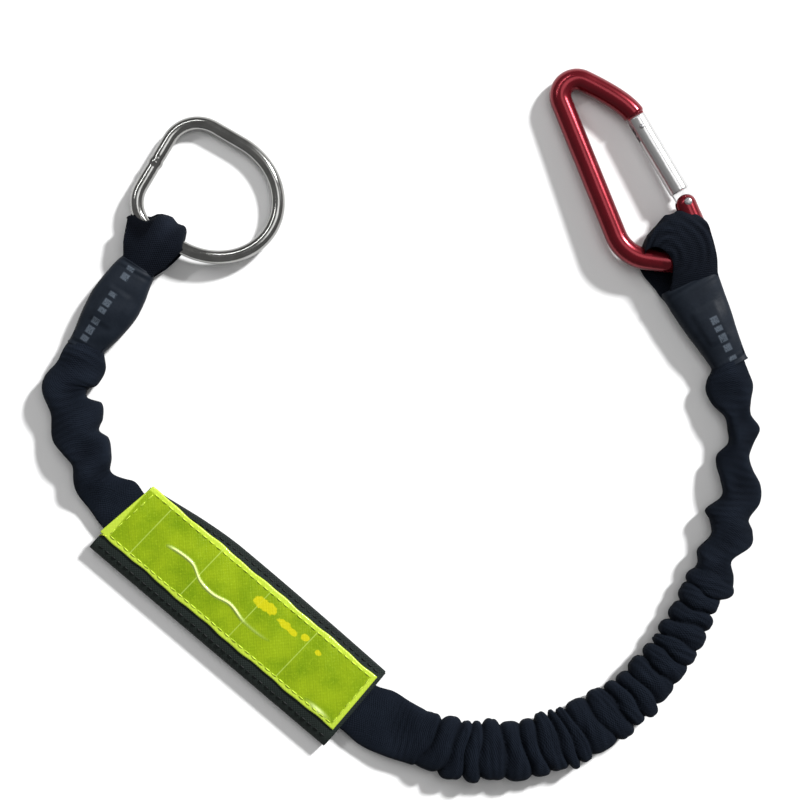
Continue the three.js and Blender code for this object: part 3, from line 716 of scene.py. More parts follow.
def make_cord(name, start, end, blend, nodes):
    """One length of webbing with its core, both baked in place."""
    cover = tube_object(f"{name}_cover", *webbing_points(start, end))
    core = tube_object(f"{name}_core", core_points(start + 0.5, end - 0.5))
    distance = np.linspace(start, end, 60)
    place, _, _ = route_at(distance)
    _, middle = along_table(BODY, distance)
    path = (place + UP * middle[:, None]) * MM
    for piece, material, kind in ((cover, WEBBING, "webbing"), (core, RUBBER, "elastic")):
        finish_off(piece, material, [f"{node}_{kind}" for node in nodes], blend=blend)


TAPE_LENGTH, TAPE_WIDTH = 109, 25
# Places of the cross welds; place, side, reach and width of each painted glint, a bright yellow
# patch.
TAPE_WELDS = (-42.5, -18.8, 4.3, 26.8)
TAPE_PAINTED_GLINTS = ((5.0, 6.0, 4.0, 2.7), (9.0, 6.4, 3.4, 2.5), (16.4, 5.4, 3.6, 1.9),
               (20.4, 5.2, 2.6, 1.5), (25.4, 6.6, 2.0, 1.8), (32.4, 5.4, 1.6, 1.3))
GATE_ALONG, GATE_ACROSS = (-0.504, 0.863), (0.863, 0.504)
THREAD_TWIST = 0.7 * MM

WEBBING = webbing_finish("gathered_webbing", (0.0014, 0.0021, 0.0038), (0.0085, 0.012, 0.0195),
                         0.0008, 0.008)
RUBBER = rubber_finish()

# The bodies that each length bends between, and where the bend starts and ends.
make_cord("ring_side", CORD_START, MID_SLEEVE,
          (("ring_arm", "webbing"), (-0.058, 0.066, 0.0045), (-0.0455, 0.0385, 0.0045)),
          ("ring_side", "sleeve_section"))
make_cord("sleeve_to_arc", MID_SLEEVE, STRETCH_START,
          (("webbing", "carabiner_arm"), (0.050, -0.0400, 0.0045), (0.074, -0.0500, 0.0045)),
          ("carabiner_side",))
make_cord("carabiner_side", STRETCH_START, CORD_END,
          (("carabiner_arm", "carabiner_end"), (0.1553, -0.0194, 0.0045),
           (0.179, 0.0905, 0.0045)),
          ("stretch",))


# ------------------------------------------------------------------ shrink tubes

def end_frame(tube):
    """A sewn end's first point, its direction and its left side."""
    along = tube["along"] / np.linalg.norm(tube["along"])
    return tube["start"], along, side_of(along)


def shrink_tube(name, tube, outline, tack, material, body):
    """Tube drawn down on the sewn webbing: rounded oblong sections whose half widths and
    half height come from the outline, raised over the bar tack and rippled near its ends."""
    mouth, tip = outline[0][0], outline[-1][0]
    a, turn = np.meshgrid(np.linspace(mouth, tip, 110), circle(88), indexing="ij")
    half_left, half_right, half_high, middle = along_table(outline, a)
    across, high = rounded(np.cos(turn), 0.78), rounded(np.sin(turn), 0.8)
    wide = np.where(across > 0, half_left, half_right)
    over_tack = smooth_step(a, tack - 8, tack - 5.5) * (1 - smooth_step(a, tack + 5.5, tack + 8))
    over_tack *= 1 - smooth_step(np.abs(across), 0.4, 0.62)
    ends = 1 - smooth_step(a - mouth, 0.5, 5) * (1 - smooth_step(a, tip - 5, tip - 0.5))
    ripple = 0.22 * np.sin(a * 2.4 + 1.8 * across) * ends + 0.16 * np.sin(a * 0.55 + 2 * across)
    lift = half_high * high + (0.5 * over_tack + ripple) * np.clip(high, 0, 1)
    lip = 0.25 * np.exp(-((a - mouth) / 0.6) ** 2) - 0.3 * np.exp(-((a - tip) / 0.8) ** 2)
    points = set_out(*end_frame(tube), a, (wide + lip) * across, middle + lift)
    cloth = np.stack([a * MM, wide * across * MM, high], -1)
    finish_off(tube_object(f"{name}_tube", points * MM, cloth), material,
               [f"{name}_shrink_tube"], body)


# Distance from the webbing's mouth, half widths left and right, half height, middle's height.
RING_OUTLINE = [
    (-3.0, 6.6, 6.4, 3.7, 4.4), (1.5, 7.0, 6.8, 3.9, 4.5), (8, 8.3, 8.4, 4.5, 4.7),
    (17, 9.4, 9.5, 4.7, 4.85), (24, 9.1, 8.8, 4.5, 4.75), (30, 8.3, 7.4, 4.1, 4.7),
    (34, 7.6, 6.9, 3.9, 4.6),
]
CARABINER_OUTLINE = [
    (-2.0, 6.8, 6.6, 3.7, 4.4), (2, 6.9, 6.9, 3.9, 4.5), (9, 8.0, 7.8, 4.5, 4.7),
    (16, 9.3, 9.0, 4.7, 4.85), (23, 10.2, 9.9, 4.6, 4.8), (29, 10.8, 10.7, 4.5, 5.0),
    (33, 11.0, 11.2, 4.5, 5.1),
]
# Middle and half length of each printed bar.
RING_PRINT = ((1.6, 1.1), (5.2, 1.5), (9.0, 1.2), (13.6, 1.0), (16.8, 1.3), (20.4, 0.9),
              (28.2, 1.3), (31.6, 0.8))
CARABINER_PRINT = ((0.8, 0.8), (5.0, 1.3), (8.9, 1.5), (12.6, 1.0), (16.0, 1.4))
shrink_tube("ring_end", RING_TUBE, RING_OUTLINE, 16, shrink_finish(RING_PRINT, 1.6), "ring_arm")
shrink_tube("carabiner_end", CARABINER_TUBE, CARABINER_OUTLINE, 15,
            shrink_finish(CARABINER_PRINT, -1.2), "carabiner_end")


# ------------------------------------------------------------------ webbing eyes

def eye_loop(name, tube, line, front, puckers, half_thick, nodes, bodies, pivot):
    """Webbing folded back over the bar. `line` gives, from one end of the fold to the other,
    the distance along the end, the height and the edges to the left and right; the closed
    end reaches further by `front` at each place across, and the cloth carries lobes and
    puckers."""
    start, along, left = end_frame(tube)
    share = np.linspace(0, 1, 150)
    fold = smooth_line(line, 40)
    reach = reach_along(fold[:, :2])
    fold = read_off(share * reach[-1], reach, fold)
    tangent = np.gradient(fold[:, :2], axis=0)
    tangent /= np.linalg.norm(tangent, axis=1)[:, None]
    turn = circle(56)
    across = rounded(np.cos(turn), 0.8)[None, :]
    through = rounded(np.sin(turn), 0.9)[None, :]
    ahead, high, edge_left, edge_right = fold.T[:, :, None]
    sideways = (edge_left + edge_right) / 2 + (edge_left - edge_right) / 2 * across
    bulge = np.sin(math.pi * share)[:, None] ** 2
    closed = np.exp(-((share - 0.5) / 0.13) ** 2)[:, None]
    pucker = bulge * puckers(ahead, sideways, share[:, None])
    thick = half_thick * (1 - 0.35 * np.abs(across) ** 3) * through + pucker
    a = ahead - tangent[:, 1][:, None] * thick + closed * front(sideways)
    z = high + tangent[:, 0][:, None] * thick
    points = set_out(start, along, left, a, sideways, z)
    # Third cloth part: painted shade and highlight, lighter on the puckers' tops and darker in
    # their folds and under the upper layer's edge.
    cloth = np.stack([(share * reach[-1])[:, None] * MM + 0 * a, sideways * MM,
                      0.5 + 0.9 * pucker], -1)
    bend = [(start + along * (pivot + away) + UP * EYE_HEIGHT) * MM
            for away in (-EYE_BEND, EYE_BEND)]
    finish_off(tube_object(name, points * MM, cloth), EYE_WEBBING, nodes,
               blend=(bodies, *bend))


# Place across, from the right edge to the left, and how far the folded end reaches there.
RING_FRONT = [(-11, 1.0), (-8.9, 3.3), (-7.6, 6.5), (-5.9, 7.7), (-4.0, 6.8), (-2.5, 6.2),
              (0, 7.0), (3.2, 6.7), (4.9, 5.8), (6.3, 3.6), (8, 3.2), (10.5, 3.2), (12.4, 2.4),
              (13.4, 0.2)]
CARABINER_FRONT = [(-15.5, 7.5), (-13.8, 10.8), (-9.1, 14.4), (-4.5, 15.2), (0.8, 14.5),
                   (5, 12.7), (8.7, 10.3), (11, 7.2), (13, 3.0)]


def ring_front(across):
    """Reach of the closed end: three soft lobes, the left one lower."""
    return along_table(RING_FRONT, across)[0] - 7.6


def carabiner_front(across):
    """Reach of the closed end: an even dome, fullest right of the middle."""
    return along_table(CARABINER_FRONT, across)[0] - 14.2


def ring_pucker(along, across, share):
    """Lengthwise folds that fan out from the tube, and a step where the upper layer's edge
    lies over the lower one."""
    fan = across / (6 + 0.3 * np.clip(along - 28, 0, 30))
    step = smooth_step(across, 3.4, 4.8) * (share < 0.5) * smooth_step(along, 36, 46)
    return 0.5 * np.cos(fan * 4.6 + 0.4) + 0.2 * np.cos(fan * 11 + 1) - 1.5 * step


def carabiner_pucker(along, across, _):
    """Folds in rings round the place where the bar goes in."""
    away = np.hypot(across - 5.0, along - 44)
    return 0.34 * np.cos(away * 2 * math.pi / 3.4) * smooth_step(away, 2, 5) \
        + 0.2 * np.cos(away * 2 * math.pi / 1.9 + across)


EYE_WEBBING = webbing_finish("folded_webbing", (0.0018, 0.0026, 0.0046),
                             (0.0085, 0.0115, 0.0185), 0.0009, 0.008)
EYE_BEND, EYE_HEIGHT = 2.6, 4.5       # half length and height of the bend at each eye
RING_BAR, CARABINER_BAR = 47.6, 42.5  # distances along the ends to the bars' middle lines
# Distance along the end, height, and the edges to the left and right.
RING_FOLD = [
    (28, 6.3, 6.0, -6.0), (33, 6.6, 6.4, -6.2), (39.5, 8.3, 9.8, -8.6),
    (RING_BAR, 9.5, 12.6, -10.2), (52.5, 8.6, 13.2, -10.0), (54.6, 5.4, 13.0, -9.6),
    (52.5, 2.1, 12.6, -9.4), (RING_BAR, 1.35, 12.0, -10.0), (39.5, 1.9, 9.8, -8.6),
    (33, 2.7, 6.4, -6.2), (28, 3.0, 6.0, -6.0),
]
CARABINER_FOLD = [
    (27, 6.4, 8.6, -9.2), (31, 7.6, 8.8, -10.7), (36, 10.4, 5.8, -12.4),
    (CARABINER_BAR, 12.6, 3.0, -13.6), (49, 12.6, 5.2, -14.4), (54.0, 10.4, 10.6, -14.4),
    (55.4, 7.0, 12.2, -13.6), (53.6, 3.6, 12.6, -12.8), (CARABINER_BAR, 1.35, 13.0, -12.4),
    (36, 1.7, 11.6, -12.2), (31, 2.2, 10.8, -10.6), (27, 3.0, 8.8, -9.2),
]
eye_loop("ring_eye_webbing", RING_TUBE, RING_FOLD, ring_front, ring_pucker, 1.25,
         ["ring_end_eye"], ("ring_arm", "ring_eye"), 35.6)
eye_loop("carabiner_eye_webbing", CARABINER_TUBE, CARABINER_FOLD, carabiner_front,
         carabiner_pucker, 1.3, ["carabiner_end_eye"], ("carabiner_end", "carabiner_eye"), 33.6)


# ------------------------------------------------------------------ bars and fittings

BAR_STEP = 0.25                 # between the points that a bar's line is cut to


def arc(middle, radius, first, last, count, second=None):
    """Points on a circle, or on an ellipse when a second radius is given, in degrees."""
    angle = np.radians(np.linspace(first, last, count))
    return middle + np.stack([radius * np.cos(angle), (second or radius) * np.sin(angle)], -1)


def evenly(points, step):
    """A flat line re-cut at even distances."""
    points = np.asarray(points, float)
    keep = np.concatenate([[True], np.linalg.norm(np.diff(points, axis=0), axis=1) > 1e-6])
    points = points[keep]
    reach = reach_along(points)
    return read_off(np.linspace(0, reach[-1], int(reach[-1] / step) + 1), reach, points)


def lying(turned, tube, line, middle, corner, radius):
    """The fitting's place: turned flat, then tipped about its bar until its far side rests
    on the ground; the tip's sine is the bar's height over the fitting's reach."""
    _, along, _ = end_frame(tube)
    far = (placed(flat(line), turned) @ along).max()
    tip = math.asin((middle[2] - radius) / (far + corner))
    axis = Vector((-along[1], along[0], 0))
    place = Matrix.Rotation(tip, 4, axis) @ turned
    place.translation = Vector((middle[0], middle[1], middle[2] - corner * math.sin(tip)))
    return place


def placed(points, place):
    """Points carried by a matrix."""
    m = np.array(place)
    return points @ m[:3, :3].T + m[:3, 3]


def round_bar(name, line, radius, place, closed=False, ends=None, swell=None):
    """A round section carried along a flat line. Each open end is rounded over: the section
    is drawn in on a quarter circle of that end's radius."""
    line = evenly(line, BAR_STEP)
    length = BAR_STEP * (len(line) - 1)
    reach = np.linspace(0, length, len(line))
    if closed:
        at = reach[:-1:2]
        inset = np.zeros(len(at))
        before, after = np.roll(line[:-1], 1, 0)[::2], np.roll(line[:-1], -1, 0)[::2]
        along = after - before
    else:
        angle = np.linspace(0, math.pi / 2, 9)
        first, last = ends[0] * (1 - np.cos(angle)), length - ends[1] * (1 - np.cos(angle))
        at = np.concatenate([first, np.arange(ends[0] + 0.4, length - ends[1] - 0.3, 0.5),
                             last[::-1]])
        inset = np.concatenate([ends[0] * (1 - np.sin(angle)),
                                np.zeros(len(at) - 18), ends[1] * (1 - np.sin(angle))[::-1]])
        along = read_off(at, reach, np.gradient(line, axis=0))
    along = along / np.linalg.norm(along, axis=1)[:, None]
    line = read_off(at, reach, line)
    size = (radius - inset + (swell(line) if swell else 0))[:, None]
    turn = circle(40)
    side = np.stack([-along[:, 1], along[:, 0]], -1)
    plan = line[:, None, :] + side[:, None, :] * (size * np.cos(turn))[..., None]
    points = np.concatenate([plan, (size * np.sin(turn))[..., None]], -1)
    points = placed(points, place) * MM
    return ring_object(name, points) if closed else tube_object(name, points)


def block(name, outline, low, high, place):
    """A flat outline given a thickness, as a cutter or a plate."""
    outline = np.asarray(outline, float)
    count = len(outline)
    points = np.concatenate([np.concatenate([outline, np.full((count, 1), z)], -1)
                             for z in (low, high)])
    mesh = bpy.data.meshes.new(name)
    index = list(range(count))
    faces = [index[::-1], [i + count for i in index]]
    faces += [[i, (i + 1) % count, (i + 1) % count + count, i + count] for i in index]
    if np.cross(outline, np.roll(outline, -1, 0)).sum() < 0:
        faces = [face[::-1] for face in faces]
    mesh.from_pydata((placed(points, place) * MM).tolist(), [], faces)
    return add_object(name, mesh)


RING_WIRE = 5                   # the ring's own sizes, then its place and turn
RING_WIDTH, RING_DEPTH = 44, 48.6
RING_SHOULDER, RING_CORNER = 23.6, 12
RING_MIDDLE = (-24.6, 148.4, 5.4)
RING_TURN = math.radians(-120)


def ring_line():
    """A straight bar, two round corners, and half an ellipse over the shoulders; the corner
    that sits in the eye has its middle at the origin."""
    half, inner = RING_WIDTH / 2, RING_WIDTH / 2 - RING_CORNER
    line = np.vstack([
        [[0, 0], [inner, 0]], arc((inner, RING_CORNER), RING_CORNER, -90, 0, 30),
        arc((0, RING_SHOULDER), half, 0, 180, 120, RING_DEPTH - RING_SHOULDER),
        arc((-inner, RING_CORNER), RING_CORNER, 180, 270, 30), [[0, 0]]])
    return line - [inner, RING_CORNER]


def weld_swell(line):
    """The weld in the middle of the bar: a low bead with a narrow dip at each side."""
    middle = np.array([RING_CORNER - RING_WIDTH / 2, -RING_CORNER])
    away = np.linalg.norm(line - middle, axis=1)
    return 0.28 * np.exp(-(away / 0.9) ** 2) - 0.12 * np.exp(-((away - 1.9) / 0.5) ** 2)


def make_ring():
    """The wire carried round the ring's line, lying in its eye."""
    turned = Matrix.Rotation(RING_TURN, 4, "Z")
    place = lying(turned, RING_TUBE, ring_line(), RING_MIDDLE, RING_CORNER, RING_WIRE / 2)
    ring = round_bar("steel_d_ring", ring_line(), RING_WIRE / 2, place, closed=True,
                     swell=weld_swell)
    finish_off(ring, chrome_finish(), ["d_ring"], "ring")


make_ring()

# The bar's diameter, the spine's distance from the middle of the eye corner, and the bends'
# radii, in the carabiner's own plane with that middle at the origin.
ROD, SPINE, EYE_CORNER = 8, 17.5, 10.4
HEEL, CROWN, CROWN_HEIGHT = 14, 6, 58.8
HINGE = np.array([EYE_CORNER + 0.4, 7.5])
GATE_LEAN = math.radians(8.5)
GATE_LINE = np.array([-math.sin(GATE_LEAN), math.cos(GATE_LEAN)])
GATE_SIDE = np.array([GATE_LINE[1], -GATE_LINE[0]])
GATE_LENGTH, GATE_DIAMETER = 36.5, 7.4
GAP = 0.4
KNUCKLE = ROD / 2 - 0.5
GATE_START = ROD / 2 + 2 * GAP  # the gate ends just clear of the round knuckle
BLADE, SLOT_DEPTH, RIVET, LATCH_PIN = 2.8, 9, 2.4, 1.8
TONGUE_HALF = GATE_DIAMETER / 2 - 0.6
NOTCH_HALF, NOTCH_DEPTH = 1.3, 0.4
CARABINER_MIDDLE = (156.1, 137.1, 6.9)
CARABINER_TURN = math.radians(21.8)


def on_gate(along, across=0.0):
    """A place in the carabiner's plane, from the hinge along the gate and to its outside."""
    return HINGE + GATE_LINE * along + GATE_SIDE * across


def body_line():
    """From the forked knuckle round the eye corner and the heel, up the spine, over the
    crown and along a curve to the nose."""
    heel_turn = math.radians(60)
    heel_x = HEEL - SPINE
    first = -EYE_CORNER * np.array([math.cos(heel_turn), math.sin(heel_turn)])
    heel_y = first[1] + (first[0] - heel_x + HEEL * math.cos(heel_turn)) \
        / math.tan(heel_turn) + HEEL * math.sin(heel_turn)
    crown = arc((CROWN - SPINE, CROWN_HEIGHT), CROWN, 180, 40, 40)
    brow, nose = on_gate(GATE_LENGTH + 6.5), on_gate(GATE_LENGTH + GAP)
    t = np.linspace(0, 1, 40)[:, None]
    curve = (1 - t) ** 2 * crown[-1] + 2 * t * (1 - t) * brow + t * t * nose
    return np.vstack([[on_gate(KNUCKLE)], arc((0, 0), EYE_CORNER, 0, -120, 50),
                      arc((heel_x, heel_y), HEEL, -120, -180, 40), crown, curve])


def gate_box(name, first, last, half, high, place, side=None):
    """A box on the gate's line, as high above the plane as below it; its far side may be
    given."""
    side = half if side is None else side
    return block(name, [on_gate(first, -half), on_gate(last, -half), on_gate(last, side),
                        on_gate(first, side)], -high, high, place)


def disc(name, middle, radius, low, high, place, dome):
    """A round pin with its edges rounded over."""
    turn = circle(28)
    rows = [(0.75, low), (0.95, low + 0.12), (1, low + 0.35), (1, high - 0.35),
            (0.95, high - 0.12), (0.75, high), (0.35, high + dome)]
    grid = np.stack([np.stack([middle[0] + radius * share * np.cos(turn),
                               middle[1] + radius * share * np.sin(turn),
                               z + 0 * turn], -1) for share, z in rows])
    return tube_object(name, placed(grid, place) * MM)


def make_body(place, slot, latch):
    """The forked bar, with the nose's blade notched for the latch pin."""
    body = round_bar("red_body_bar", body_line(), ROD / 2, place, ends=(3.8, 1.1))
    carve(body, gate_box("throat", -GATE_DIAMETER / 2 - 1.4, ROD, ROD, slot, place))
    blade = gate_box("blade", GATE_LENGTH - SLOT_DEPTH + 2.2, GATE_LENGTH + 3, TONGUE_HALF,
                     BLADE / 2, place)
    carve(blade, gate_box("notch", latch - NOTCH_HALF, latch + NOTCH_HALF, GATE_DIAMETER, ROD,
                          place, NOTCH_DEPTH))
    whole = joined("red_body", body, blade)
    shade_by_angle(whole)
    finish_off(whole, anodised_finish(), ["carabiner_body"], "carabiner")


def make_gate(place, slot):
    """The gate's tube, slotted at the nose, with the round-ended tongue at its hinge."""
    gate = round_bar("gate_tube", [on_gate(GATE_START), on_gate(GATE_LENGTH)],
                     GATE_DIAMETER / 2, place, ends=(0.5, 0.8))
    carve(gate, gate_box("nose_slot", GATE_LENGTH - SLOT_DEPTH, GATE_LENGTH + 5, ROD, slot,
                         place))
    tip = np.array([HINGE + TONGUE_HALF * (GATE_SIDE * math.cos(t) - GATE_LINE * math.sin(t))
                    for t in np.linspace(0, math.pi, 16)])
    root = [on_gate(GATE_START + 1, side) for side in (-TONGUE_HALF, TONGUE_HALF)]
    tongue = block("tongue", np.vstack([tip, root]), -BLADE / 2, BLADE / 2, place)
    whole = joined("gate_with_tongue", gate, tongue)
    shade_by_angle(whole)
    finish_off(whole, satin_finish(), ["gate"], "gate")


def make_carabiner():
    """The body, the gate, and the pins in the hinge and the nose, all in one place."""
    turned = Matrix.Rotation(CARABINER_TURN, 4, "Z")
    place = lying(turned, CARABINER_TUBE, body_line(), CARABINER_MIDDLE, EYE_CORNER, ROD / 2)
    slot = BLADE / 2 + GAP
    latch = GATE_LENGTH - SLOT_DEPTH / 2
    make_body(place, slot, latch)
    make_gate(place, slot)
    rivet = disc("hinge_rivet", HINGE, RIVET / 2 + 0.25, -ROD / 2 - 0.05, ROD / 2 + 0.05,
                 place, 0.12)
    finish_off(rivet, SPRING, ["gate_rivet"], "carabiner")
    pin = disc("latch_pin", on_gate(latch, -0.4), LATCH_PIN / 2, -GATE_DIAMETER / 2 - 0.1,
               GATE_DIAMETER / 2 + 0.05, place, 0.1)
    finish_off(pin, SPRING, ["gate_latch_pin"], "gate")


def shade_by_angle(piece):
    """Keeps the edges over 35 degrees crisp."""
    piece.data.set_sharp_from_angle(angle=math.radians(35))
    piece.data.update()


SPRING = spring_finish()
make_carabiner()


# ------------------------------------------------------------------ sleeve

SLEEVE_TURN = math.radians(-40.3)
SLEEVE_ALONG = np.array([math.cos(SLEEVE_TURN), math.sin(SLEEVE_TURN), 0.0])
SLEEVE_ACROSS = np.array([-SLEEVE_ALONG[1], SLEEVE_ALONG[0], 0.0])
SLEEVE_LENGTH = 112
CLOTH = 1.0                     # the cloth's thickness
# Middle of the cloth across the sleeve: place across and height, from the back panel's free
# edge round the fold and over the front to its free edge.
SLEEVE_SECTION = smooth_line(np.array([
    (17.0, 0.52), (6, 0.52), (-6, 0.52), (-12.5, 0.62), (-15.6, 1.2), (-17.0, 2.6),
    (-16.9, 4.0), (-15.2, 5.1), (-11.5, 5.75), (-4.5, 6.05), (2, 6.1), (8, 5.9),
    (13, 5.3), (17.1, 4.7)]), 14)


def on_sleeve(along, across, high):
    """Places in the sleeve's own directions, from its middle."""
    return SLEEVE_ALONG * along[..., None] + SLEEVE_ACROSS * across[..., None] \
        + UP * high[..., None]


def free_edge(along):
    """How far the free edge stands out from a straight line: bowed out along its length and
    drawn in at the ring end."""
    return 1.0 * np.cos(along * math.pi / 140) - 4.1 * (1 - smooth_step(along, -64, -12))


def front_height(across):
    """Top of the front cloth at each place across."""
    front = SLEEVE_SECTION[np.argmin(SLEEVE_SECTION[:, 0]):]
    return np.interp(across, front[:, 0], front[:, 1]) + CLOTH / 2


def sleeve_ripple(along, across):
    """Long low waves that the rolled cloth keeps, stronger towards the free edge."""
    edge = smooth_step(across, -4, 17)
    return 0.16 * np.sin(along * 0.16 + 0.6) * (0.4 + edge) + 0.07 * np.sin(along * 0.43 + 1.5)


def make_sleeve():
    """One cloth folded in two: the section carried along the sleeve, half the cloth's
    thickness to each side, with the hems raised and the free edge bowed at mid length."""
    section = SLEEVE_SECTION
    tangent = np.gradient(section, axis=0)
    tangent /= np.linalg.norm(tangent, axis=1)[:, None]
    out, rise = tangent[:, 1], -tangent[:, 0]
    cut = reach_along(section)[None, :]
    width = cut[0, -1]
    along = np.linspace(-SLEEVE_LENGTH / 2, SLEEVE_LENGTH / 2, 170)[:, None]
    front = smooth_step(cut, width * 0.5, width * 0.62)
    bow = free_edge(along) * smooth_step(np.abs(cut - width / 2), width / 2 - 14, width / 2)
    slant = 3.0 * smooth_step(section[None, :, 0], -17, 17) * (1 - smooth_step(along, -56, -30))
    ripple = sleeve_ripple(along, section[None, :, 0]) * front
    hem = 0.28 * np.exp(-((cut - width + 2.6) / 0.8) ** 2) \
        + 0.22 * np.exp(-((np.abs(along) - SLEEVE_LENGTH / 2 + 1.6) / 0.6) ** 2) * front
    surfaces = []
    for thick in (CLOTH / 2 + hem, 0 * hem - CLOTH / 2):
        across = section[:, 0] + out * thick + bow
        high = section[:, 1] + rise * thick + ripple
        surfaces.append(on_sleeve(along + slant, across, np.maximum(high, LOWEST / 2)) * MM)
    # The third part makes the cloth lighter along the raised hems.
    cloth = np.stack([along * MM + 0 * across, cut * MM + 0 * across,
                      np.clip(hem * 2, 0, 1)], -1)
    sleeve = slab_object("folded_sleeve", *surfaces, cloth)
    finish_off(sleeve, sleeve_finish(),
               ["sleeve_back_panel", "sleeve_front_panel"],
               blend=(("sleeve", "sleeve_flap"), (0, 0, 0.0010), (0, 0, 0.0024)))
    return sleeve, width


SLEEVE, SLEEVE_CUT = make_sleeve()


TAPE_MIDDLE = 2                 # the tape's middle line lies this far from the sleeve's
TAPE_HALF = TAPE_WIDTH / 2


def tape_edge(across):
    """The ring end of the tape is cut on the slant."""
    return -TAPE_LENGTH / 2 + 2 * (across - TAPE_MIDDLE) / TAPE_HALF


# The crease's line, along and across the sleeve; the crease is raised, and it carries a painted
# highlight.
CREASE = smooth_line(np.array([(-36, 1.2), (-34, 2), (-28.5, 2.9), (-23, 2.7), (-17, -0.3),
                               (-10.6, -1), (-3.4, 0.3), (4, -1.2), (10.5, -1.4), (15, -0.9),
                               (18, -0.2)]), 12)


def crease_at(along, across):
    """A soft ridge along the crease's line: a bell across it, fading at both ends."""
    middle = np.interp(along, CREASE[:, 0], CREASE[:, 1])
    fade = smooth_step(along, -35.5, -31) \
        * (1 - 0.8 * smooth_step(along, 0, 6)) * (1 - smooth_step(along, 10, 17))
    return np.exp(-((across - middle) / 0.46) ** 2) * fade


def tape_height(along, across):
    """Underside of the film: just over the cloth, stiffer than it, with a low swell between
    the seams."""
    side = across - TAPE_MIDDLE
    rest = 0.35 * front_height(across) + 0.65 * front_height(0.55 * side + TAPE_MIDDLE)
    rest = np.maximum(rest, front_height(across) + 0.08)
    swell = 0.22 * np.sin(along * 0.21 + 0.4) * np.cos(side * math.pi / TAPE_WIDTH) \
        + 0.1 * np.sin(along * 0.5 + across * 0.35)
    return rest + 0.14 + sleeve_ripple(along, across) + swell * 0.6


def make_tape():
    """Film with rounded edges: a grid over its outline, thin at the rim, with the crease."""
    u, v = np.meshgrid(np.linspace(0, 1, 300), np.linspace(-1, 1, 110), indexing="ij")
    across = TAPE_MIDDLE + v * TAPE_HALF
    left, right = tape_edge(across), TAPE_LENGTH / 2 + 0 * across
    along = left + (right - left) * u
    wavy = 0.22 * np.sin(along * 0.23) + 0.12 * np.sin(along * 0.61 + 1) \
        + 0.35 * np.cos(along * math.pi / TAPE_LENGTH)
    across = across + wavy * np.abs(v) ** 3 * np.sign(v) * 0.9
    crease = crease_at(along, across)
    rim = np.minimum((1 - np.abs(v)) * TAPE_HALF, np.minimum(along - left, right - along))
    round_over = np.sqrt(np.clip(rim / 0.35, 0, 1))
    # A small raised bump at one corner; it and the crease carry a painted highlight through the
    # cloth vector's third part.
    corner = np.exp(-(((along - 45.5) / 3.2) ** 2 + ((across + 8.4) / 0.7) ** 2))
    under = tape_height(along, across)
    upper = under + 0.18 + 0.3 * round_over + 0.42 * crease + 0.25 * corner
    cloth = np.stack([along * MM, (across - TAPE_MIDDLE) * MM,
                      np.clip(crease + corner, 0, 1)], -1)
    tape = slab_object("reflective_film", on_sleeve(along, across, upper) * MM,
                       on_sleeve(along, across, under) * MM, cloth)
    finish_off(tape, tape_finish(), ["reflective_tape"], "sleeve_flap")
    return tape


def stitch_row(name, runs, surface, length, material, nodes=()):
    """Short rounded stitches: each a small arch, higher at its middle, at a place along and
    across and a lean, in the sleeve's own directions."""
    places, leans = np.vstack([run[0] for run in runs]), np.concatenate([run[1] for run in runs])
    rows, columns = 7, 6
    t = np.linspace(-1, 1, rows)[None, :, None]
    turn = circle(columns)[None, None, :]
    slim = np.sqrt(np.clip(1.02 - t ** 2, 0.03, 1))
    x, y = places.T[:, :, None, None]
    lean = leans[:, None, None]
    run, side = t * length / 2, STITCH_HALF * slim * np.cos(turn)
    along = x + run * np.cos(lean) - side * np.sin(lean)
    across = y + run * np.sin(lean) + side * np.cos(lean)
    rise = STITCH_HIGH * slim * (np.sin(turn) + 0.75)
    points = on_sleeve(along, across, surface(along, across) + rise)
    base = (np.arange(len(places)) * rows * columns)[:, None, None]
    quads = base[..., None] + grid_quads(rows, columns)
    ring = np.arange(columns)[1:-1]
    first, last = 0 * ring, 0 * ring + (rows - 1) * columns
    caps = np.vstack([np.stack([first, ring + 1, ring], -1),
                      np.stack([last, last + ring, last + ring + 1], -1)])
    piece = mesh_object(name, points * MM, quads.reshape(-1, 4), (caps + base).reshape(-1, 3))
    finish_off(piece, material, nodes, "sleeve_flap")
    return piece


def run_of(start, end, pitch):
    """Middles and leans of stitches from one corner to the next."""
    start, end = np.array(start, float), np.array(end, float)
    count = max(int(np.linalg.norm(end - start) / pitch), 1)
    share = (np.arange(count) + 0.5) / count
    middles = start + (end - start) * share[:, None]
    lean = math.atan2(*(end - start)[::-1])
    return middles, np.full(count, lean) + chance.uniform(-0.05, 0.05, count)


def tape_seam():
    """Stitches round the tape, inside its rim."""
    near, far = -TAPE_LENGTH / 2, TAPE_LENGTH / 2 - 1.9
    right, left = TAPE_MIDDLE - TAPE_HALF + 1.5, TAPE_MIDDLE + TAPE_HALF - 1.5
    corners = [(near + 1.4, right), (far, right), (far, left), (near + 4.2, left)]
    runs = [run_of(corners[k], corners[(k + 1) % 4], 3.2) for k in range(4)]
    stitch_row("tape_stitches", runs, lambda x, y: tape_height(x, y) + 0.42, 2.6,
               thread_finish("tape_thread", (0.36, 0.52, 0.015), (0.62, 0.78, 0.08)),
               ["tape_stitching"])


def hem_seams():
    """Stitches along the free edge, bowed with it, and along the fold."""
    runs = [run_of((-49, 15.6), (54, 15.6), 2.9), run_of((-54, -14.3), (54, -14.3), 2.9)]
    runs[0][0][:, 1] += free_edge(runs[0][0][:, 0])
    return stitch_row("sleeve_hem_stitches", runs,
                      lambda x, y: front_height(y) + sleeve_ripple(x, y) + 0.1, 2.2,
                      thread_finish("hem_thread", (0.003, 0.004, 0.004),
                                    (0.014, 0.017, 0.017)))


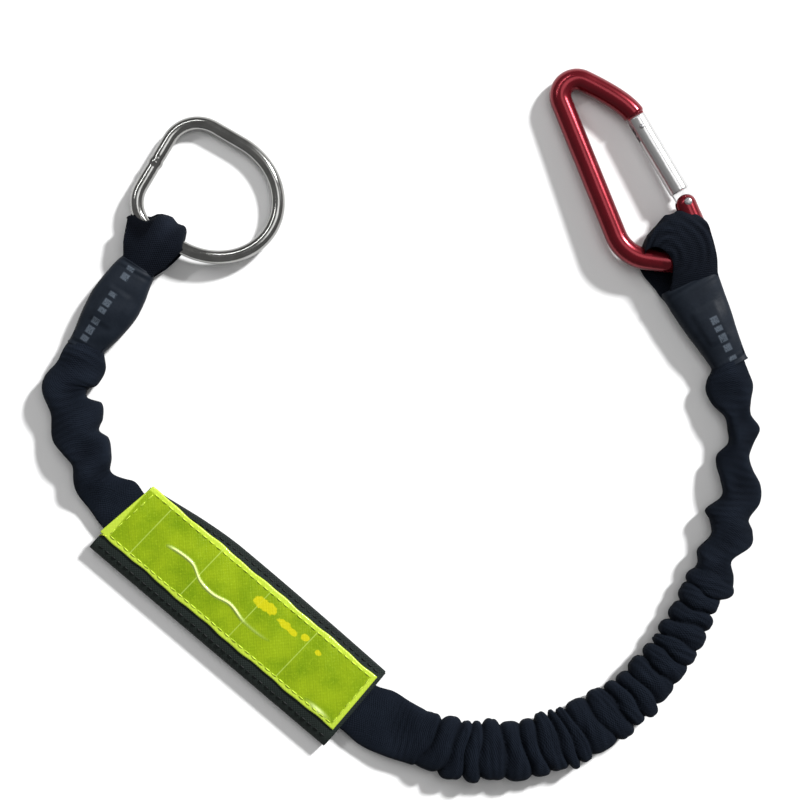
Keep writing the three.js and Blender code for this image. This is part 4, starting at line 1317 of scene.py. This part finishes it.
STITCH_HALF, STITCH_HIGH = 0.24, 0.22  # a stitch's half width and height
TAPE = make_tape()
tape_seam()
HEM_STITCHES = hem_seams()


def closure_strip(name, low, high, bristle, body):
    """Hook or loop strip along the free edge: a thin slab that follows the edge, with a
    slightly uneven pile on its face."""
    u, v = np.meshgrid(np.linspace(-40, 53, 240), np.linspace(0, 1, 14), indexing="ij")
    across = 13.1 + 3.7 * v + free_edge(u)
    pile = 0.1 * np.sin(u * 5.1) * np.sin(v * 21 + u)
    cloth = np.stack([u, across, 0 * u], -1) * MM
    piece = slab_object(f"{name}_closure", on_sleeve(u, across, high + pile) * MM,
                        on_sleeve(u, across, low - 0.5 * pile) * MM, cloth)
    finish_off(piece, hook_finish(f"{name}_face", bristle),
               [f"sleeve_{name}_strip"], body)
    return piece


HOOK = closure_strip("hook", 1.3, 2.3, 1400, "sleeve")
LOOP = closure_strip("loop", 2.75, 3.7, 900, "sleeve_flap")


def thread_end():
    """A loose tail of the yellow thread at the corner of the tape: a thin curl."""
    t = np.linspace(0, 1, 24)
    path = np.stack([-53.6 - 3.4 * t, -10.0 - 4.2 * t + 1.4 * np.sin(2.6 * t)], -1)
    turn, radius = circle(8), 0.22
    across = path[:, 1][:, None] + radius * np.cos(turn)
    along = path[:, 0][:, None] + radius * np.cos(turn) * 0.5
    high = front_height(across) + 0.75 - 0.5 * t[:, None] + radius * np.sin(turn)
    piece = tube_object("loose_thread_end", on_sleeve(along, across, high) * MM)
    finish_off(piece, thread_finish("loose_tail", (0.42, 0.5, 0.02), (0.7, 0.8, 0.1)),
               (), "sleeve_flap")
    return piece


THREAD_END = thread_end()


# ------------------------------------------------------------------ parts kept from the frame

def dress(material, *nodes):
    """Gives carried-over nodes their material."""
    for node in nodes:
        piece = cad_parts[node]
        if piece.material_slots:
            for slot in piece.material_slots:
                slot.material = material
        else:
            piece.data.materials.append(material)


dress(webbing_finish("sewn_webbing", (0.0025, 0.0035, 0.006), (0.0095, 0.013, 0.021),
                     0.0009, 0.03),
      "ring_end_sewn_webbing", "carabiner_end_sewn_webbing")
dress(thread_finish("bar_tack_thread", (0.006, 0.007, 0.009), (0.03, 0.034, 0.042)),
      "ring_end_bar_tack", "carabiner_end_bar_tack")
dress(SPRING, "gate_plunger", "gate_spring")


# ------------------------------------------------------------------ floor and light

FLOOR_REACH, FLOOR_LEVEL = 9.0, -0.0004
AMBIENT = 0.22
KEY_POWER, KEY_SPREAD = 5.4, math.radians(7)
KEY_TOWARD, KEY_RISE = (0.74, 0.67), math.radians(33)
OVERHEAD_POWER, STRIP_POWER = 2.2, 3.0


def make_floor():
    """A flat square just under the object."""
    mesh = bpy.data.meshes.new("floor")
    corners = [(x * FLOOR_REACH, y * FLOOR_REACH, FLOOR_LEVEL)
               for x, y in ((-1, -1), (1, -1), (1, 1), (-1, 1))]
    mesh.from_pydata(corners, [], [(0, 1, 2, 3)])
    floor = add_object("floor", mesh)
    f = Finish("pale_floor")
    cloud = f.noise(f.place(), 3, 3)
    floor.data.materials.append(f.shade(
        Base_Color=f.mix(cloud, (0.9, 0.9, 0.9), (0.93, 0.93, 0.93)), Roughness=0.9,
        Specular_IOR_Level=0.1))


def add_light(name, kind, toward, power):
    """A light that shines from a direction on the object."""
    data = bpy.data.lights.new(name, kind)
    data.energy = power
    light = add_object(name, data)
    light.rotation_euler = toward.to_track_quat("Z", "Y").to_euler()
    return light


def soft_box(name, toward, distance, width, height, power):
    """A rectangular light at a distance in a direction, facing the object's middle."""
    toward = Vector(toward).normalized()
    light = add_light(name, "AREA", toward, power)
    light.data.shape = "RECTANGLE"
    light.data.size, light.data.size_y = width, height
    light.location = Vector((*AIM, 0)) + toward * distance


def make_light():
    """Even ambient light, a low key from the upper right, and two soft boxes for gloss."""
    scene.view_settings.view_transform = "Standard"
    world = bpy.data.worlds.new("studio")
    world.use_nodes = True
    sky = world.node_tree.nodes["Background"]
    sky.inputs["Color"].default_value = (1, 1, 1, 1)
    sky.inputs["Strength"].default_value = AMBIENT
    scene.world = world
    toward = Vector((KEY_TOWARD[0] * math.cos(KEY_RISE), KEY_TOWARD[1] * math.cos(KEY_RISE),
                     math.sin(KEY_RISE)))
    add_light("key", "SUN", toward, KEY_POWER).data.angle = KEY_SPREAD
    soft_box("overhead", (0.28, 0.2, 1), 1.3, 0.7, 0.5, OVERHEAD_POWER)
    soft_box("strip", (-0.5, 0.75, 1), 1.2, 0.9, 0.06, STRIP_POWER)


make_floor()
make_light()
